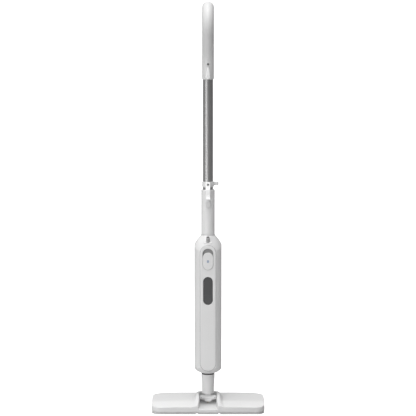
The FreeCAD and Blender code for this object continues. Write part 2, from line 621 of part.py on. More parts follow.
def make_body_shells():
    for label, low, high in (("front_shell", "-60", "-0.05"), ("rear_shell", "0.05", "60")):
        half_space = box(label + "_side", ("-60", "60"), (low, high), ("60", "520"))
        inner = body_volume(label + "_inner", "body_wall")
        wall = cut(label + "_wall", body_volume(label + "_outer", "0"), inner)
        half = common(label + "_half", wall, half_space)
        tools = [
            cylinder(label + "_neck_hole", "neck_radius-neck_wall+0.2", "body_top-30", "body_top+2"),
            cylinder(label + "_stem_hole", "stem_sleeve+0.1", "body_bottom-2", "body_bottom+20"),
        ]
        if label == "front_shell":
            seat_shape = stadium("panel_half+panel_gap", "panel_low-panel_gap", "panel_high+panel_gap")
            seat = prism("panel_recess", "XZ", seat_shape, "-body_half_deep-3", "-body_half_deep+panel_seat")
            view = prism("view_hole", "XZ", stadium("window_half-2.5", "window_low+2.5", "window_high-2.5"),
                         "-body_half_deep-3", "-body_half_deep+6")
            slide = prism("slide_hole", "XZ", stadium("5", "slot_low+9", "slot_high-12"),
                          "-body_half_deep-3", "-body_half_deep+6")
            gland = gland_bar("gland_seat", "gland_radius+0.1", "-14", "gland_long")
            pad = prism("slide_pad", "XZ", stadium("slot_half+1.5", "slot_low-1.5", "slot_high+1.5"),
                        "-body_half_deep+1.2", "-body_half_deep+5")
            pocket = prism("slide_pocket", "XZ", stadium("slot_half-0.3", "slot_low+0.3", "slot_high-0.3"),
                           "-body_half_deep-3", "-body_half_deep+3.5")
            bar = cylinder("saddle_bar", 3.2, "-12", "12", "X", ("-gland_y-3", "gland_z-2"))
            saddle = fillet("saddle", bar, 2.4, lambda edge: edge.BoundBox.XLength < 1e-4)
            bosses = [cylinder("front_boss_%d" % i, 3.6, "-24", "-0.05", "Y", spot)
                      for i, spot in enumerate(BODY_SCREWS)]
            ribs = [box("front_rib_%d" % i, (spot[0] + "-1", spot[0] + "+1"), ("-body_half_deep+2", "-10"),
                        (spot[1] + "-3", spot[1] + "+3")) for i, spot in enumerate(BODY_SCREWS)]
            pilots = [cylinder("front_pilot_%d" % i, "screw_shank+0.05", "-12", "1", "Y", spot)
                      for i, spot in enumerate(BODY_SCREWS)]
            braced = fuse("front_braced", [half, pad, saddle] + bosses + ribs)
            part(cut("front_cut", braced, seat, view, slide, pocket, gland, *(tools + pilots)), label)
        else:
            bosses = [cylinder("rear_boss_%d" % i, 5, "0.05", "body_half_deep-1.5", "Y", spot)
                      for i, spot in enumerate(BODY_SCREWS)]
            wells = [cylinder("rear_well_%d" % i, "screw_head+0.3", "12", "60", "Y", spot)
                     for i, spot in enumerate(BODY_SCREWS)]
            holes = [cylinder("rear_hole_%d" % i, "screw_shank+0.2", "-1", "14", "Y", spot)
                     for i, spot in enumerate(BODY_SCREWS)]
            filler = cylinder("filler_hole", "filler_radius+0.2", "20", "60", "Y", ("0", "filler_z"))
            cap_seat = cylinder("cap_seat", "cap_radius+0.6", "body_half_deep-1", "60", "Y",
                                ("0", "filler_z"))
            braced = fuse("rear_braced", [half] + bosses)
            part(cut("rear_cut", braced, filler, cap_seat, *(tools + wells + holes)), label)


def make_body_screws():
    screws = [screw("body_screw_%d" % i, 20, (x, "12", z), "Y", 1) for i, (x, z) in enumerate(BODY_SCREWS)]
    part(group("body_screw_group", screws), "body_screws")


def make_front_panel():
    face = "-body_half_deep-panel_proud"
    seat = "-body_half_deep+panel_seat"
    plate = prism("panel_plate", "XZ", stadium("panel_half", "panel_low", "panel_high"), face, seat)
    through = (face + "-1", seat + "+1")
    slot = prism("panel_slot", "XZ", stadium("slot_half", "slot_low", "slot_high"), *through)
    view = prism("panel_view", "XZ", stadium("window_half", "window_low", "window_high"), *through)
    open_plate = cut("panel_open", plate, slot, view)
    front = value(face)

    def rim_chamfer(number, edge):
        """A wide shallow chamfer round the outside and a small one round the openings."""
        box_now = edge.BoundBox
        if abs(box_now.YMin - front) > 1e-4 or box_now.YLength > 1e-4:
            return []
        outside = max(abs(box_now.XMin), abs(box_now.XMax)) > value("slot_half+1")
        return [(number, 0.6, value("panel_border") if outside else 0.6)]

    doc.recompute()
    result = doc.addObject("Part::Chamfer", "panel_chamfer")
    result.Base = open_plate
    result.Edges = [c for i, e in enumerate(open_plate.Shape.Edges, start=1) for c in rim_chamfer(i, e)]
    part(result, "front_panel")


def make_tank_window():
    shape = stadium("window_half-fit_gap", "window_low+fit_gap", "window_high-fit_gap")
    lens = prism("window_lens", "XZ", shape, "-body_half_deep-0.2", "-body_half_deep+panel_seat")
    part(lens, "tank_window")


def make_switch():
    face = "-body_half_deep-panel_proud"
    plate = prism("knob_plate", "XZ", stadium("slot_half-0.5", "slot_low+0.5", "knob_high"),
                  face + "-1.6", "-body_half_deep+panel_seat-0.3")
    front = value(face + "-1.6")
    soft = fillet("knob_round", plate, 1.3,
                  lambda edge: abs(edge.BoundBox.YMin - front) < 1e-4 and edge.BoundBox.YLength < 1e-4)
    tongue = box("knob_tongue", ("-3", "3"), ("-body_half_deep+panel_seat-1", "-28"),
                 ("slot_low+10.5", "slot_low+17"))
    lens_hole = prism("lens_hole", "XZ", lens_shape("0.05"), face + "-3", face)
    light_path = cylinder("light_path", "lens_radius-0.6", face + "-1", "-body_half_deep+panel_seat", "Y",
                          ("0", "lens_z"))
    part(cut("knob_cut", fuse("knob_solid", [soft, tongue]), lens_hole, light_path), "switch_knob")
    part(prism("lens", "XZ", lens_shape("0"), face + "-1.8", face), "switch_lens")
    case = box("microswitch_case", ("-10", "10"), ("-24", "-13"), ("slot_low+8", "slot_low+38"))
    lever = box("microswitch_lever", ("-3", "3"), ("-27.2", "-23.9"), ("slot_low+9", "slot_low+13"))
    part(fuse("microswitch_solid", [case, lever]), "microswitch")


def lens_shape(gap):
    half = "lens_radius+" + gap
    return stadium(half, "lens_z-lens_half_tall-" + gap, "lens_z+lens_half_tall+" + gap)


def make_electrics():
    """The light stands where the lens comes to rest when the switch is on."""
    front = "-board_y+board_thick"
    board = box("board", ("-13.5", "13.5"), ("-board_y", front), ("board_low", "board_high"))
    relay = box("relay", ("-9", "9"), (front, "2"), ("board_low+6", "board_low+24"))
    capacitor = cylinder("capacitor", 5, front, "4", "Y", ("6", "board_high-18"))
    part(fuse("board_solid", [board, relay, capacitor]), "control_board")
    light_z = "lens_z+switch_travel"
    light_body = cylinder("light_body", "light_radius", "-31", "-28.4", "Y", ("0", light_z))
    light_tip = doc.addObject("Part::Sphere", "light_tip")
    light_tip.setExpression("Radius", bound("light_radius"))
    set_place(light_tip, "0", "-31", light_z)
    part(fuse("light_solid", [light_body, light_tip]), "indicator_light")


def make_tank():
    """A moulded bottle with a raised face behind the window and a filler neck at the back."""
    half = "tank_half_wide"
    deep = "tank_half_deep"
    wall = "tank_wall"
    corner = "9"
    plan = rounded("-" + half, half, "-" + deep, deep, corner)
    outer = prism("tank_outer", "XY", plan, "tank_low", "tank_high")
    soft = fillet("tank_soft", outer, 5, lambda edge: edge.BoundBox.ZLength < 1e-4)
    face = box("tank_face", ("-10.6", "10.6"), ("-31", "-20"), ("tank_low+6", "tank_high-18"))
    neck = cylinder("tank_neck", "filler_radius", "20", "body_half_deep-1.4", "Y", ("0", "filler_z"))
    hollow = rounded("-%s+%s" % (half, wall), "%s-%s" % (half, wall), "-%s+%s" % (deep, wall),
                     "%s-%s" % (deep, wall), "%s-%s" % (corner, wall))
    inner = prism("tank_inner", "XY", hollow, "tank_low+tank_wall", "tank_high-tank_wall")
    face_inner = box("tank_face_inner", ("-10.6+tank_wall", "10.6-tank_wall"), ("-31+tank_wall", "-19"),
                     ("tank_low+8", "tank_high-20"))
    neck_bore = cylinder("tank_neck_bore", "filler_radius-2.2", "18", "body_half_deep", "Y",
                         ("0", "filler_z"))
    outlet = cylinder("tank_outlet", "hose_radius", "tank_low-8", "tank_low+3")
    outlet_bore = cylinder("tank_outlet_bore", "spigot_bore", "tank_low-9", "tank_low+4")
    whole = fuse("tank_whole", [soft, face, neck, outlet])
    part(cut("tank_cut", whole, inner, face_inner, neck_bore, outlet_bore), "water_tank")


def make_fill_cap():
    back = "body_half_deep"
    middle = ("0", "filler_z")
    disc = cylinder("cap_disc", "cap_radius", back + "-0.7", back + "+3.6", "Y", middle)
    soft = fillet("cap_soft", disc, 1.4, lambda edge: edge.BoundBox.YLength < 1e-4
                  and edge.BoundBox.YMin > value("body_half_deep+3"))
    plug = cylinder("cap_plug", "plug_radius", back + "-12", back + "-0.5", "Y", middle)
    bar = box("cap_bar", ("-13", "13"), (back + "+2", back + "+8"), ("filler_z-2.4", "filler_z+2.4"))
    bar_soft = fillet("cap_bar_soft", bar, 1.6, lambda edge: edge.BoundBox.YMin > value("body_half_deep+7.9"))
    groove = turned("cap_groove", [
        ("plug_groove", "-1.2"), ("plug_radius+0.7", "-1.2"),
        ("plug_radius+0.7", "1.2"), ("plug_groove", "1.2"),
    ])
    groove.Placement = FreeCAD.Placement(FreeCAD.Vector(), TURNS["Y"])
    set_place(groove, "0", back + "-8", "filler_z")
    part(cut("cap_cut", fuse("cap_solid", [soft, plug, bar_soft]), groove), "fill_cap")
    ring = doc.addObject("Part::Torus", "cap_ring")
    ring.setExpression("Radius1", bound("plug_groove+0.75"))
    ring.setExpression("Radius2", bound("0.72"))
    ring.Placement = FreeCAD.Placement(FreeCAD.Vector(), TURNS["Y"])
    set_place(ring, "0", back + "-8", "filler_z")
    part(ring, "cap_seal")


def make_pump():
    coil = box("pump_coil", ("-pump_half", "pump_half"), ("-pump_half_deep", "pump_half_deep"),
               ("pump_low", "pump_high"))
    core = cylinder("pump_core", 8, "pump_low-6", "pump_high+6")
    inlet = cylinder("pump_inlet", "spigot_radius", "pump_high+5", "pump_high+14")
    outlet = cylinder("pump_outlet", "spigot_radius", "pump_low-14", "pump_low-5")
    part(fuse("pump_solid", [coil, core, inlet, outlet]), "water_pump")
    plate = box("pump_plate", ("-pump_half-2", "pump_half+2"), ("pump_half_deep+0.1", "pump_half_deep+2"),
                ("pump_low-4", "pump_high+4"))
    feet = [box("pump_foot_%d" % i, (low, high), ("pump_half_deep+1", "30"), ("pump_low+12", "pump_low+22"))
            for i, (low, high) in enumerate((("-pump_half-2", "-pump_half"), ("pump_half", "pump_half+2")))]
    part(fuse("pump_bracket_solid", [plate] + feet), "pump_bracket")


def make_boiler():
    drum = cylinder("boiler_drum", "boiler_radius", "boiler_low", "boiler_high")
    soft = fillet("boiler_soft", drum, 4, lambda edge: edge.BoundBox.ZLength < 1e-4)
    fins = [box("boiler_fin_%d" % i, ("-boiler_radius-1.5", "boiler_radius+1.5"), ("-2", "2"),
                ("boiler_low+%d" % rise, "boiler_low+%d" % (rise + 3)))
            for i, rise in enumerate(range(12, 49, 12))]
    top = cylinder("boiler_inlet", "spigot_radius", "boiler_high-1", "boiler_high+8")
    outlet = cylinder("boiler_outlet", "spigot_radius+0.5", "boiler_low-10", "boiler_low+1")
    middle_z = "boiler_low+34"
    pad = cylinder("boiler_pad", 9, "-boiler_radius-2.5", "-18", "Y", ("0", middle_z))
    part(fuse("boiler_solid", [soft] + fins + [top, outlet, pad]), "boiler")
    disc = cylinder("thermostat_disc", 8, "-28", "-boiler_radius-2.6", "Y", ("0", middle_z))
    blades = [box("thermostat_blade_%d" % i, (x + "-2.4", x + "+2.4"), ("-29.5", "-27.9"),
                  (middle_z + "-1.5", middle_z + "+1.5"))
              for i, x in enumerate(("-4.5", "4.5"))]
    part(fuse("thermostat_solid", [disc] + blades), "thermostat")
    fuse_place = ("-boiler_radius-2.4", "boiler_high-12")
    fuse_can = cylinder("fuse_can", 2.2, "-8", "8", "X", fuse_place)
    fuse_ends = cylinder("fuse_leads", 0.6, "-13", "13", "X", fuse_place)
    part(fuse("fuse_solid", [fuse_can, fuse_ends]), "thermal_fuse")
    ring = cylinder("bracket_ring", "boiler_radius+2.2", "boiler_high+8.2", "boiler_high+10.2")
    hole = cylinder("bracket_hole", 6.4, "boiler_high+7", "boiler_high+12")
    posts = [box("bracket_post_%d" % i, (low, high), ("-3", "3"), ("boiler_high-10", "boiler_high+10"))
             for i, (low, high) in enumerate((("-boiler_radius-3.6", "-boiler_radius-1.6"),
                                              ("boiler_radius+1.6", "boiler_radius+3.6")))]
    part(cut("bracket_cut", fuse("bracket_solid", [ring] + posts), hole), "boiler_bracket")


def make_hoses():
    """Straight lengths that start and end 0.1 mm short of the spigots they fit."""
    runs = (
        ("tank_hose", "tank_low-8.1", "pump_high+14.1", "hose_radius", "hose_bore"),
        ("feed_hose", "pump_low-14.1", "boiler_high+8.1", "hose_radius", "hose_bore"),
        ("steam_pipe", "boiler_low-10.1", "roll_z+19", "steam_radius", "steam_bore"),
    )
    for label, top, bottom, radius, bore in runs:
        ends = [(0, 0, value(top)), (0, 0, value(bottom))]
        part(pipe(label + "_run", ends, value(radius), 5, value(bore)), label)


def make_leads():
    """Two mains leads from the gland past the switch and the tank to the boiler."""
    heights = [value(text) for text in ("gland_z-19", "gland_z-31", "board_low+32", "tank_low+31",
                                        "boiler_high+20", "boiler_high-6")]
    across = (1.8, 9, 30.5, 31, 30, 26.5)
    back = (-19, -18, -4, 0, -4, -9)
    for label, side in (("live_lead", -1), ("neutral_lead", 1)):
        points = [(x * side, y, z) for x, y, z in zip(across, back, heights)]
        part(pipe(label + "_run", points, value("lead_radius"), 9, 0), label)


def gland_bar(name, radius, low, high):
    """A round bar on the gland's tilted axis, measured from where the axis leaves the shoulder."""
    bar = doc.addObject("Part::Cylinder", name)
    bar.setExpression("Radius", bound(radius))
    bar.setExpression("Height", bound("(%s) - (%s)" % (high, low)))
    tilt = FreeCAD.Rotation(FreeCAD.Vector(1, 0, 0), value("gland_tilt"))
    bar.Placement = FreeCAD.Placement(FreeCAD.Vector(), tilt)
    set_place(bar, "0", "-gland_y - sin(gland_tilt * 1 deg) * (%s)" % low,
              "gland_z + cos(gland_tilt * 1 deg) * (%s)" % low)
    return bar


def make_gland():
    sleeve = gland_bar("gland_sleeve", "gland_radius", "-13", "gland_long")
    bore = gland_bar("gland_hole", "gland_bore", "-10", "gland_long+1")
    grooves = []
    for number in range(4):
        low = "%s" % (2.5 + 3.4 * number)
        ring = gland_bar("gland_ring_%d" % number, "gland_radius+1", low, low + "+1.3")
        core = gland_bar("gland_core_%d" % number, "gland_radius-0.9", low + "-1", low + "+3")
        grooves.append(cut("gland_groove_%d" % number, ring, core))
    part(cut("gland_cut", sleeve, bore, *grooves), "cord_gland")
    clamp = box("clamp_bar", ("-9", "9"), ("-20", "-13"), ("gland_z-17", "gland_z-13"))
    clamp_hole = cylinder("clamp_hole", 1.5, "gland_z-18", "gland_z-12", "Z", ("-6", "-16.5"))
    part(cut("clamp_cut", clamp, clamp_hole), "cord_clamp")


# ---------------------------------------------------------------- neck and tube
def make_neck():
    wall = turned("neck_wall", [
        ("tube_radius+0.12", "body_top-16"), ("neck_radius-neck_wall", "body_top-16"),
        ("neck_radius-neck_wall", "body_top+seam_gap"),
        ("neck_radius", "body_top+seam_gap"),
        ("neck_radius", "neck_top-1.6"), ("neck_radius-1.6", "neck_top"),
        ("tube_radius+0.12", "neck_top"),
    ])
    button = prism("neck_button_hole", "XZ", stadium("7", "lower_button_z-10", "lower_button_z+10"),
                   "-neck_radius-2", "-tube_radius-1.6")
    pocket = cylinder("neck_spring_hole", "snap_radius+0.5", "-neck_radius+0.5", "-10", "Y",
                      ("0", "lower_button_z"))
    part(cut("neck_cut", wall, button, pocket), "neck_tube")


def make_tube():
    tube = turned("tube_wall_turn", [
        ("tube_radius-tube_wall", "tube_low"), ("tube_radius", "tube_low"),
        ("tube_radius", "tube_high"), ("tube_radius-tube_wall", "tube_high"),
    ])
    low = cylinder("tube_low_hole", "snap_radius+0.5", "-20", "-10", "Y", ("0", "lower_button_z"))
    high = cylinder("tube_high_hole", "snap_radius+0.5", "-20", "-10", "Y", ("0", "upper_button_z"))
    part(cut("tube_cut", tube, low, high), "aluminium_tube")


def make_release_buttons():
    cap = prism("lower_cap", "XZ", stadium("6.7", "lower_button_z-9.7", "lower_button_z+9.7"),
                "-neck_radius-2.6", "-tube_radius-1.9-button_travel+0.4")
    front = value("-neck_radius-2.6")
    soft = fillet("lower_cap_soft", cap, 0.9,
                  lambda edge: abs(edge.BoundBox.YMin - front) < 1e-4 and edge.BoundBox.YLength < 1e-4)
    pin = cylinder("lower_pin", "snap_radius", "-neck_radius+0.2", "-tube_radius+1.5", "Y",
                   ("0", "lower_button_z"))
    part(fuse("lower_button_solid", [soft, pin]), "lower_release_button")
    stub = cylinder("upper_stub", "snap_radius+0.1", "-grip_radius-2.2", "-tube_radius+1.5", "Y",
                    ("0", "upper_button_z"))
    tip = value("-grip_radius-2.2")
    part(fillet("upper_stub_soft", stub, 1.2, lambda edge: abs(edge.BoundBox.YMin - tip) < 1e-4
                and edge.BoundBox.YLength < 1e-4), "upper_release_button")
    for word in ("lower", "upper"):
        coil = spring(word + "_coil", "coil_radius", "coil_wire", "-tube_radius+2", "coil_back", "coil_turns",
                      ("0", word + "_button_z"))
        part(coil, word + "_button_spring")


def make_lower_collar():
    ring = turned("lower_ring", [
        ("tube_radius+0.1", "lower_collar_low"), ("collar_radius-1.6", "lower_collar_low"),
        ("collar_radius", "lower_collar_low+3"), ("collar_radius", "lower_collar_high-0.8"),
        ("collar_radius-0.8", "lower_collar_high"), ("tube_radius+0.1", "lower_collar_high"),
    ])
    boss = box("hook_boss", ("-hook_half", "hook_half"), ("-collar_radius-2.4", "-tube_radius-1"),
               ("lower_collar_low+1.5", "lower_collar_high-1"))
    lug = prism("clip_lug", "XY", [
        ("tube_radius+1.5", "-clip_round"), ("clip_x", "-clip_round", "clip_round"), ("clip_x", "clip_round"),
        ("tube_radius+1.5", "clip_round"),
    ], "lower_collar_low+5.5", "lower_collar_high-1")
    slot = cylinder("clip_slot", "clip_bore", "lower_collar_low", "lower_collar_high+1", "Z", ("clip_x", "0"))
    mouth = box("clip_mouth", ("clip_x-clip_bore+0.8", "clip_x+clip_bore-0.8"), ("0", "clip_round+4"),
                ("lower_collar_low", "lower_collar_high+1"))
    hole = cylinder("boss_hole", "screw_shank+0.05", "-collar_radius-3", "-tube_radius-0.5", "Y", HOOK_SCREW)
    whole = fuse("lower_collar_solid", [ring, boss, lug])
    part(cut("lower_collar_cut", whole, slot, mouth, hole), "lower_collar")


HOOK_SCREW = ("0", "lower_collar_low+8.5")


def make_lower_hook():
    root = "-collar_radius-2.5"
    strip = prism("hook_strip", "YZ", [
        (root, "lower_collar_high-1.2"), (root, "lower_collar_low+3"),
        ("-hook_gap_out+4.4", "lower_collar_low-7"),
        ("-hook_gap_out+3", "lower_hook_low+11"), ("-hook_gap_out+2", "lower_hook_low+1"),
        ("-hook_gap_out-2.6", "lower_hook_low"), ("-hook_gap_out-3", "lower_hook_low+3"),
        ("-hook_gap_out-0.4", "lower_hook_low+9"), ("-hook_gap_out", "lower_collar_low-5"),
        (root + "-2.6", "lower_collar_high-2"),
    ], "-hook_half", "hook_half")
    sink = cylinder("hook_sink", "screw_head+0.2", "-40", root + "-1.4", "Y", HOOK_SCREW)
    hole = cylinder("hook_hole", "screw_shank+0.2", "-40", "-10", "Y", HOOK_SCREW)
    part(cut("hook_cut", strip, sink, hole), "lower_cord_hook")
    part(screw("hook_screw_part", 3.5, ("0", root + "-1.4", HOOK_SCREW[1]), "Y", -1), "hook_screw")


def make_upper_collar():
    ring = turned("upper_ring", [
        ("tube_radius+0.1", "upper_collar_low"), ("collar_radius-2", "upper_collar_low"),
        ("collar_radius", "upper_collar_low+2.4"), ("collar_radius", "upper_collar_high-0.1"),
        ("tube_radius+0.1", "upper_collar_high-0.1"),
    ])
    middle = ("0", "upper_hook_z")
    boss = cylinder("pivot_boss", 5.1, "-collar_radius-1.6", "-tube_radius-0.6", "Y", middle)
    hole = cylinder("pivot_hole", "hook_pin_radius+0.02", "-collar_radius-3", "-tube_radius-0.4", "Y", middle)
    part(cut("upper_collar_cut", fuse("upper_collar_solid", [ring, boss]), hole), "upper_collar")


def make_upper_hook():
    inner = "-hook_gap_out+1.6"
    middle = ("0", "upper_hook_z")
    leaf = prism("hook_leaf", "XZ", [
        ("-hook_half+0.6", "upper_hook_z-1"), ("-hook_half+2.2", "upper_hook_z+17"),
        ("-1.2", "upper_hook_z+27"), ("1.2", "upper_hook_z+27"),
        ("hook_half-2.2", "upper_hook_z+17"), ("hook_half-0.6", "upper_hook_z-1"),
    ], "-hook_gap_out-1.6", inner)
    foot = cylinder("hook_foot", "hook_half", "-hook_gap_out-1.6", "-collar_radius-1.9", "Y", middle)
    front = value("-hook_gap_out-1.6")
    soft = fillet("hook_soft", fuse("hook_leaf_solid", [leaf, foot]), 1.0,
                  lambda edge: abs(edge.BoundBox.YMin - front) < 1e-4 and edge.BoundBox.YLength < 1e-4)
    hole = cylinder("hook_pin_hole", "hook_pin_radius+running_gap", "-40", "-10", "Y", middle)
    sink = cylinder("hook_pin_sink", 2.9, "-40", "-hook_gap_out+0.4", "Y", middle)
    part(cut("upper_hook_cut", soft, hole, sink), "upper_cord_hook")
    shaft = cylinder("pivot_shaft", "hook_pin_radius", "-hook_gap_out+0.3", "-tube_radius-0.6", "Y", middle)
    head = cylinder("pivot_head", 2.6, "-hook_gap_out-1.2", "-hook_gap_out+0.35", "Y", middle)
    part(fuse("pivot_solid", [shaft, head]), "hook_pivot_pin")


# ---------------------------------------------------------------- handle
def leg(name, radius, start, end):
    """A round bar in the X = 0 plane between two (y, z) places."""
    bar = doc.addObject("Part::Cylinder", name)
    bar.setExpression("Radius", bound(radius))
    run = FreeCAD.Vector(0, value(end[0]) - value(start[0]), value(end[1]) - value(start[1]))
    bar.Height = run.Length
    bar.Placement = FreeCAD.Placement(FreeCAD.Vector(), FreeCAD.Rotation(FreeCAD.Vector(0, 0, 1), run))
    set_place(bar, "0", start[0], start[1])
    return bar


def bend(name, radius, bend_radius, centre, start_angle, angle):
    """A stretch of ring in the X = 0 plane; angles are in radians from +Y towards +Z."""
    ring = doc.addObject("Part::Torus", name)
    ring.setExpression("Radius1", bound(bend_radius))
    ring.setExpression("Radius2", bound(radius))
    ring.Angle3 = math.degrees(angle)
    upright = FreeCAD.Rotation(
        FreeCAD.Vector(0, 1, 0), FreeCAD.Vector(0, 0, 1), FreeCAD.Vector(1, 0, 0), "ZXY")
    start_turn = FreeCAD.Rotation(FreeCAD.Vector(0, 0, 1), math.degrees(start_angle))
    ring.Placement = FreeCAD.Placement(FreeCAD.Vector(), upright.multiply(start_turn))
    set_place(ring, "0", centre[0], centre[1])
    return ring


def tangent_angle(start_z, side):
    """Where a line from (0, start_z) touches the loop, as an angle; side is -1 in front and 1 behind."""
    reach = math.hypot(value("loop_y"), value("loop_z") - start_z)
    towards = math.atan2(start_z - value("loop_z"), -value("loop_y"))
    return towards + side * math.acos(value("loop_radius") / reach)


def on_loop(angle):
    """A place on the loop's centre line."""
    return ("loop_y + loop_radius * (%.12f)" % math.cos(angle),
            "loop_z + loop_radius * (%.12f)" % math.sin(angle))


def grip_volume(name, inset):
    """The closed loop: up the front leg, over the top and down the back leg into the front leg."""
    radius = "(grip_radius-%s)" % inset
    front_angle = tangent_angle(value("lean_low"), -1) % (2 * math.pi)
    rear_angle = tangent_angle(value("rear_join_z"), 1)
    lean = front_angle - math.pi
    slack = "knee_radius * (%.12f)" % math.tan(lean / 2)
    knee_start = ("0", "lean_low - " + slack)
    knee_end = ("-%s * (%.12f)" % (slack, math.sin(lean)),
                "lean_low + %s * (%.12f)" % (slack, math.cos(lean)))
    return fuse(name, [
        leg(name + "_root", radius, ("0", "upper_collar_high"), knee_start),
        bend(name + "_knee", radius, "knee_radius", ("-knee_radius", knee_start[1]), 0, lean),
        leg(name + "_lean", radius, knee_end, on_loop(front_angle)),
        bend(name + "_arch", radius, "loop_radius", ("loop_y", "loop_z"),
             rear_angle, front_angle - rear_angle),
        leg(name + "_back", radius, ("0", "rear_join_z"), on_loop(rear_angle)),
    ], refine=False)


def handle_screw_places():
    """On the front leg, at the top, behind the loop and low on the back leg, as (y, z)."""
    front = on_loop(tangent_angle(value("lean_low"), -1))
    back = on_loop(tangent_angle(value("rear_join_z"), 1))
    return [
        ("(%s) * 0.5" % front[0], "(%s) * 0.5 + lean_low * 0.5" % front[1]),
        ("loop_y", "loop_z+loop_radius"),
        ("loop_y+45", "loop_z-32"),
        ("(%s) * 0.38" % back[0], "(%s) * 0.38 + rear_join_z * 0.62" % back[1]),
    ]


def make_handle():
    places = handle_screw_places()
    inner_stop = box("grip_core_low", ("-40", "40"), ("-60", "200"), ("900", "tube_high+3"))
    reach = "11.5"
    for label, low, high in (("handle_left", "-60", "-0.04"), ("handle_right", "0.04", "60")):
        outer = grip_volume(label + "_outer", "0")
        inner = grip_volume(label + "_inner", "grip_wall")
        hollow = cut(label + "_hollow", inner, inner_stop, refine=False)
        socket = cylinder(label + "_socket", "tube_radius+0.12", "upper_collar_high-1", "tube_high+3.5")
        hole = cylinder(label + "_button_hole", "3.15", "-30", "-tube_radius+1", "Y", ("0", "upper_button_z"))
        half_space = box(label + "_side", (low, high), ("-80", "140"), ("900", "1200"))
        if label == "handle_right":
            bores = [cylinder("%s_bore_%d" % (label, i), "screw_shank+0.2", "-1", "14", "X", spot)
                     for i, spot in enumerate(places)]
            bores += [cylinder("%s_sink_%d" % (label, i), "screw_head+0.25", reach, "30", "X", spot)
                      for i, spot in enumerate(places)]
        else:
            bores = [cylinder("%s_pilot_%d" % (label, i), "screw_shank+0.05", "-6", "1", "X", spot)
                     for i, spot in enumerate(places)]
        posts = [cylinder("%s_post_%d" % (label, i), "post_radius", "-grip_radius", "grip_radius", "X", spot)
                 for i, spot in enumerate(places)]
        shell = cut(label + "_shell", outer, hollow, socket, refine=False)
        inside = common(label + "_posts", fuse(label + "_post_set", posts), outer, refine=False)
        whole = fuse(label + "_whole", [shell, inside], refine=False)
        half = common(label + "_half", whole, half_space, refine=False)
        part(cut(label + "_cut", half, hole, *bores, refine=False), label)
    screws = [screw("handle_screw_%d" % i, 16, (reach,) + spot, "X", 1) for i, spot in enumerate(places)]
    part(group("handle_screw_group", screws), "handle_screws")


# ---------------------------------------------------------------- the whole mop
def build():
    make_base_plate()
    make_head_cover()
    make_hook_strips()
    make_head_screws()
    make_steam_manifold()
    make_head_hose()
    make_pitch_axle()
    make_crosspiece()
    make_cross_bushes()
    make_roll_pin()
    make_stem()
    make_stem_seal()
    make_body_shells()
    make_body_screws()
    make_front_panel()
    make_tank_window()
    make_switch()
    make_electrics()
    make_tank()
    make_fill_cap()
    make_pump()
    make_boiler()
    make_hoses()
    make_leads()
    make_gland()
    make_neck()
    make_tube()
    make_release_buttons()
    make_lower_collar()
    make_lower_hook()
    make_upper_collar()
    make_upper_hook()
    make_handle()


def write():
    """Stops if any object failed, then writes one file for each piece."""
    doc.recompute()
    faults = [o.Name + " " + str(o.State) for o in doc.Objects if "Invalid" in o.State or "Error" in o.State]
    for thing in parts:
        if thing.Shape.isNull() or not thing.Shape.isValid() or not thing.Shape.Solids:
            faults.append("shape of " + thing.Label)
    if faults:
        raise RuntimeError("failed: " + "; ".join(faults))
    os.makedirs("parts", exist_ok=True)
    for thing in parts:
        thing.Shape.exportStep("parts/%s.step" % thing.Label)
    print("%d parts" % len(parts))


build()
write()
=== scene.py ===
import json
import math

import bpy
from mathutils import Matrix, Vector


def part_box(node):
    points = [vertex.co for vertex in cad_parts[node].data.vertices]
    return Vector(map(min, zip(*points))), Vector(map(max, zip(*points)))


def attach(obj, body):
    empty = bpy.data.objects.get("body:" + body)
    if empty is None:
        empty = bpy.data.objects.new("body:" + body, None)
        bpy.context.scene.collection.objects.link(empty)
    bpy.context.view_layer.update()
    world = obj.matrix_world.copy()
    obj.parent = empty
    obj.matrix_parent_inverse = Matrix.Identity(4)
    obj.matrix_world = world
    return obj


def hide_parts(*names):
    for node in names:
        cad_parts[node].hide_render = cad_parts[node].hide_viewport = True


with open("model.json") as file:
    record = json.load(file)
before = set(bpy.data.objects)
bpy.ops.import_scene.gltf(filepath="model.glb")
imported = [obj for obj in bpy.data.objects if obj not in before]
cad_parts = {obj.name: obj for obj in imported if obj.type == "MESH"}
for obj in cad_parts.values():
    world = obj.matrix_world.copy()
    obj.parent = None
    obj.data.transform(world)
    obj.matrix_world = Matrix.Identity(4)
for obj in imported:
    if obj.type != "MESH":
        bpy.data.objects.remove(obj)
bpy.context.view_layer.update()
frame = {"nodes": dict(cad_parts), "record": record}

MM = 0.001
NODES = frame["nodes"]


# ---------------------------------------------------------------- small helpers
def smooth_step(t):
    """0 to 1 with level ends."""
    t = min(1.0, max(0.0, t))
    return t * t * (3 - 2 * t)


def rise(place, start, run):
    """0 before start, 1 after start + run, and a smooth step between them."""
    return smooth_step((place - start) / run)


def add_mesh(name, verts, faces, body, material, smooth=True):
    """A new piece from plain lists, riding on a body."""
    mesh = bpy.data.meshes.new(name)
    mesh.from_pydata([tuple(v) for v in verts], [], faces)
    mesh.update()
    piece = bpy.data.objects.new(name, mesh)
    bpy.context.scene.collection.objects.link(piece)
    mesh.materials.append(material)
    for polygon in mesh.polygons:
        polygon.use_smooth = smooth
    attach(piece, body)
    return piece


# ---------------------------------------------------------------- camera
# Tilt in degrees, lens in mm, and the rest in metres.
CAMERA_TILT = 6.87
CAMERA_LENS = 149.5
CAMERA_FAR = 4.8
CAMERA_HEIGHT = 1.15
CAMERA_REACH = 2000


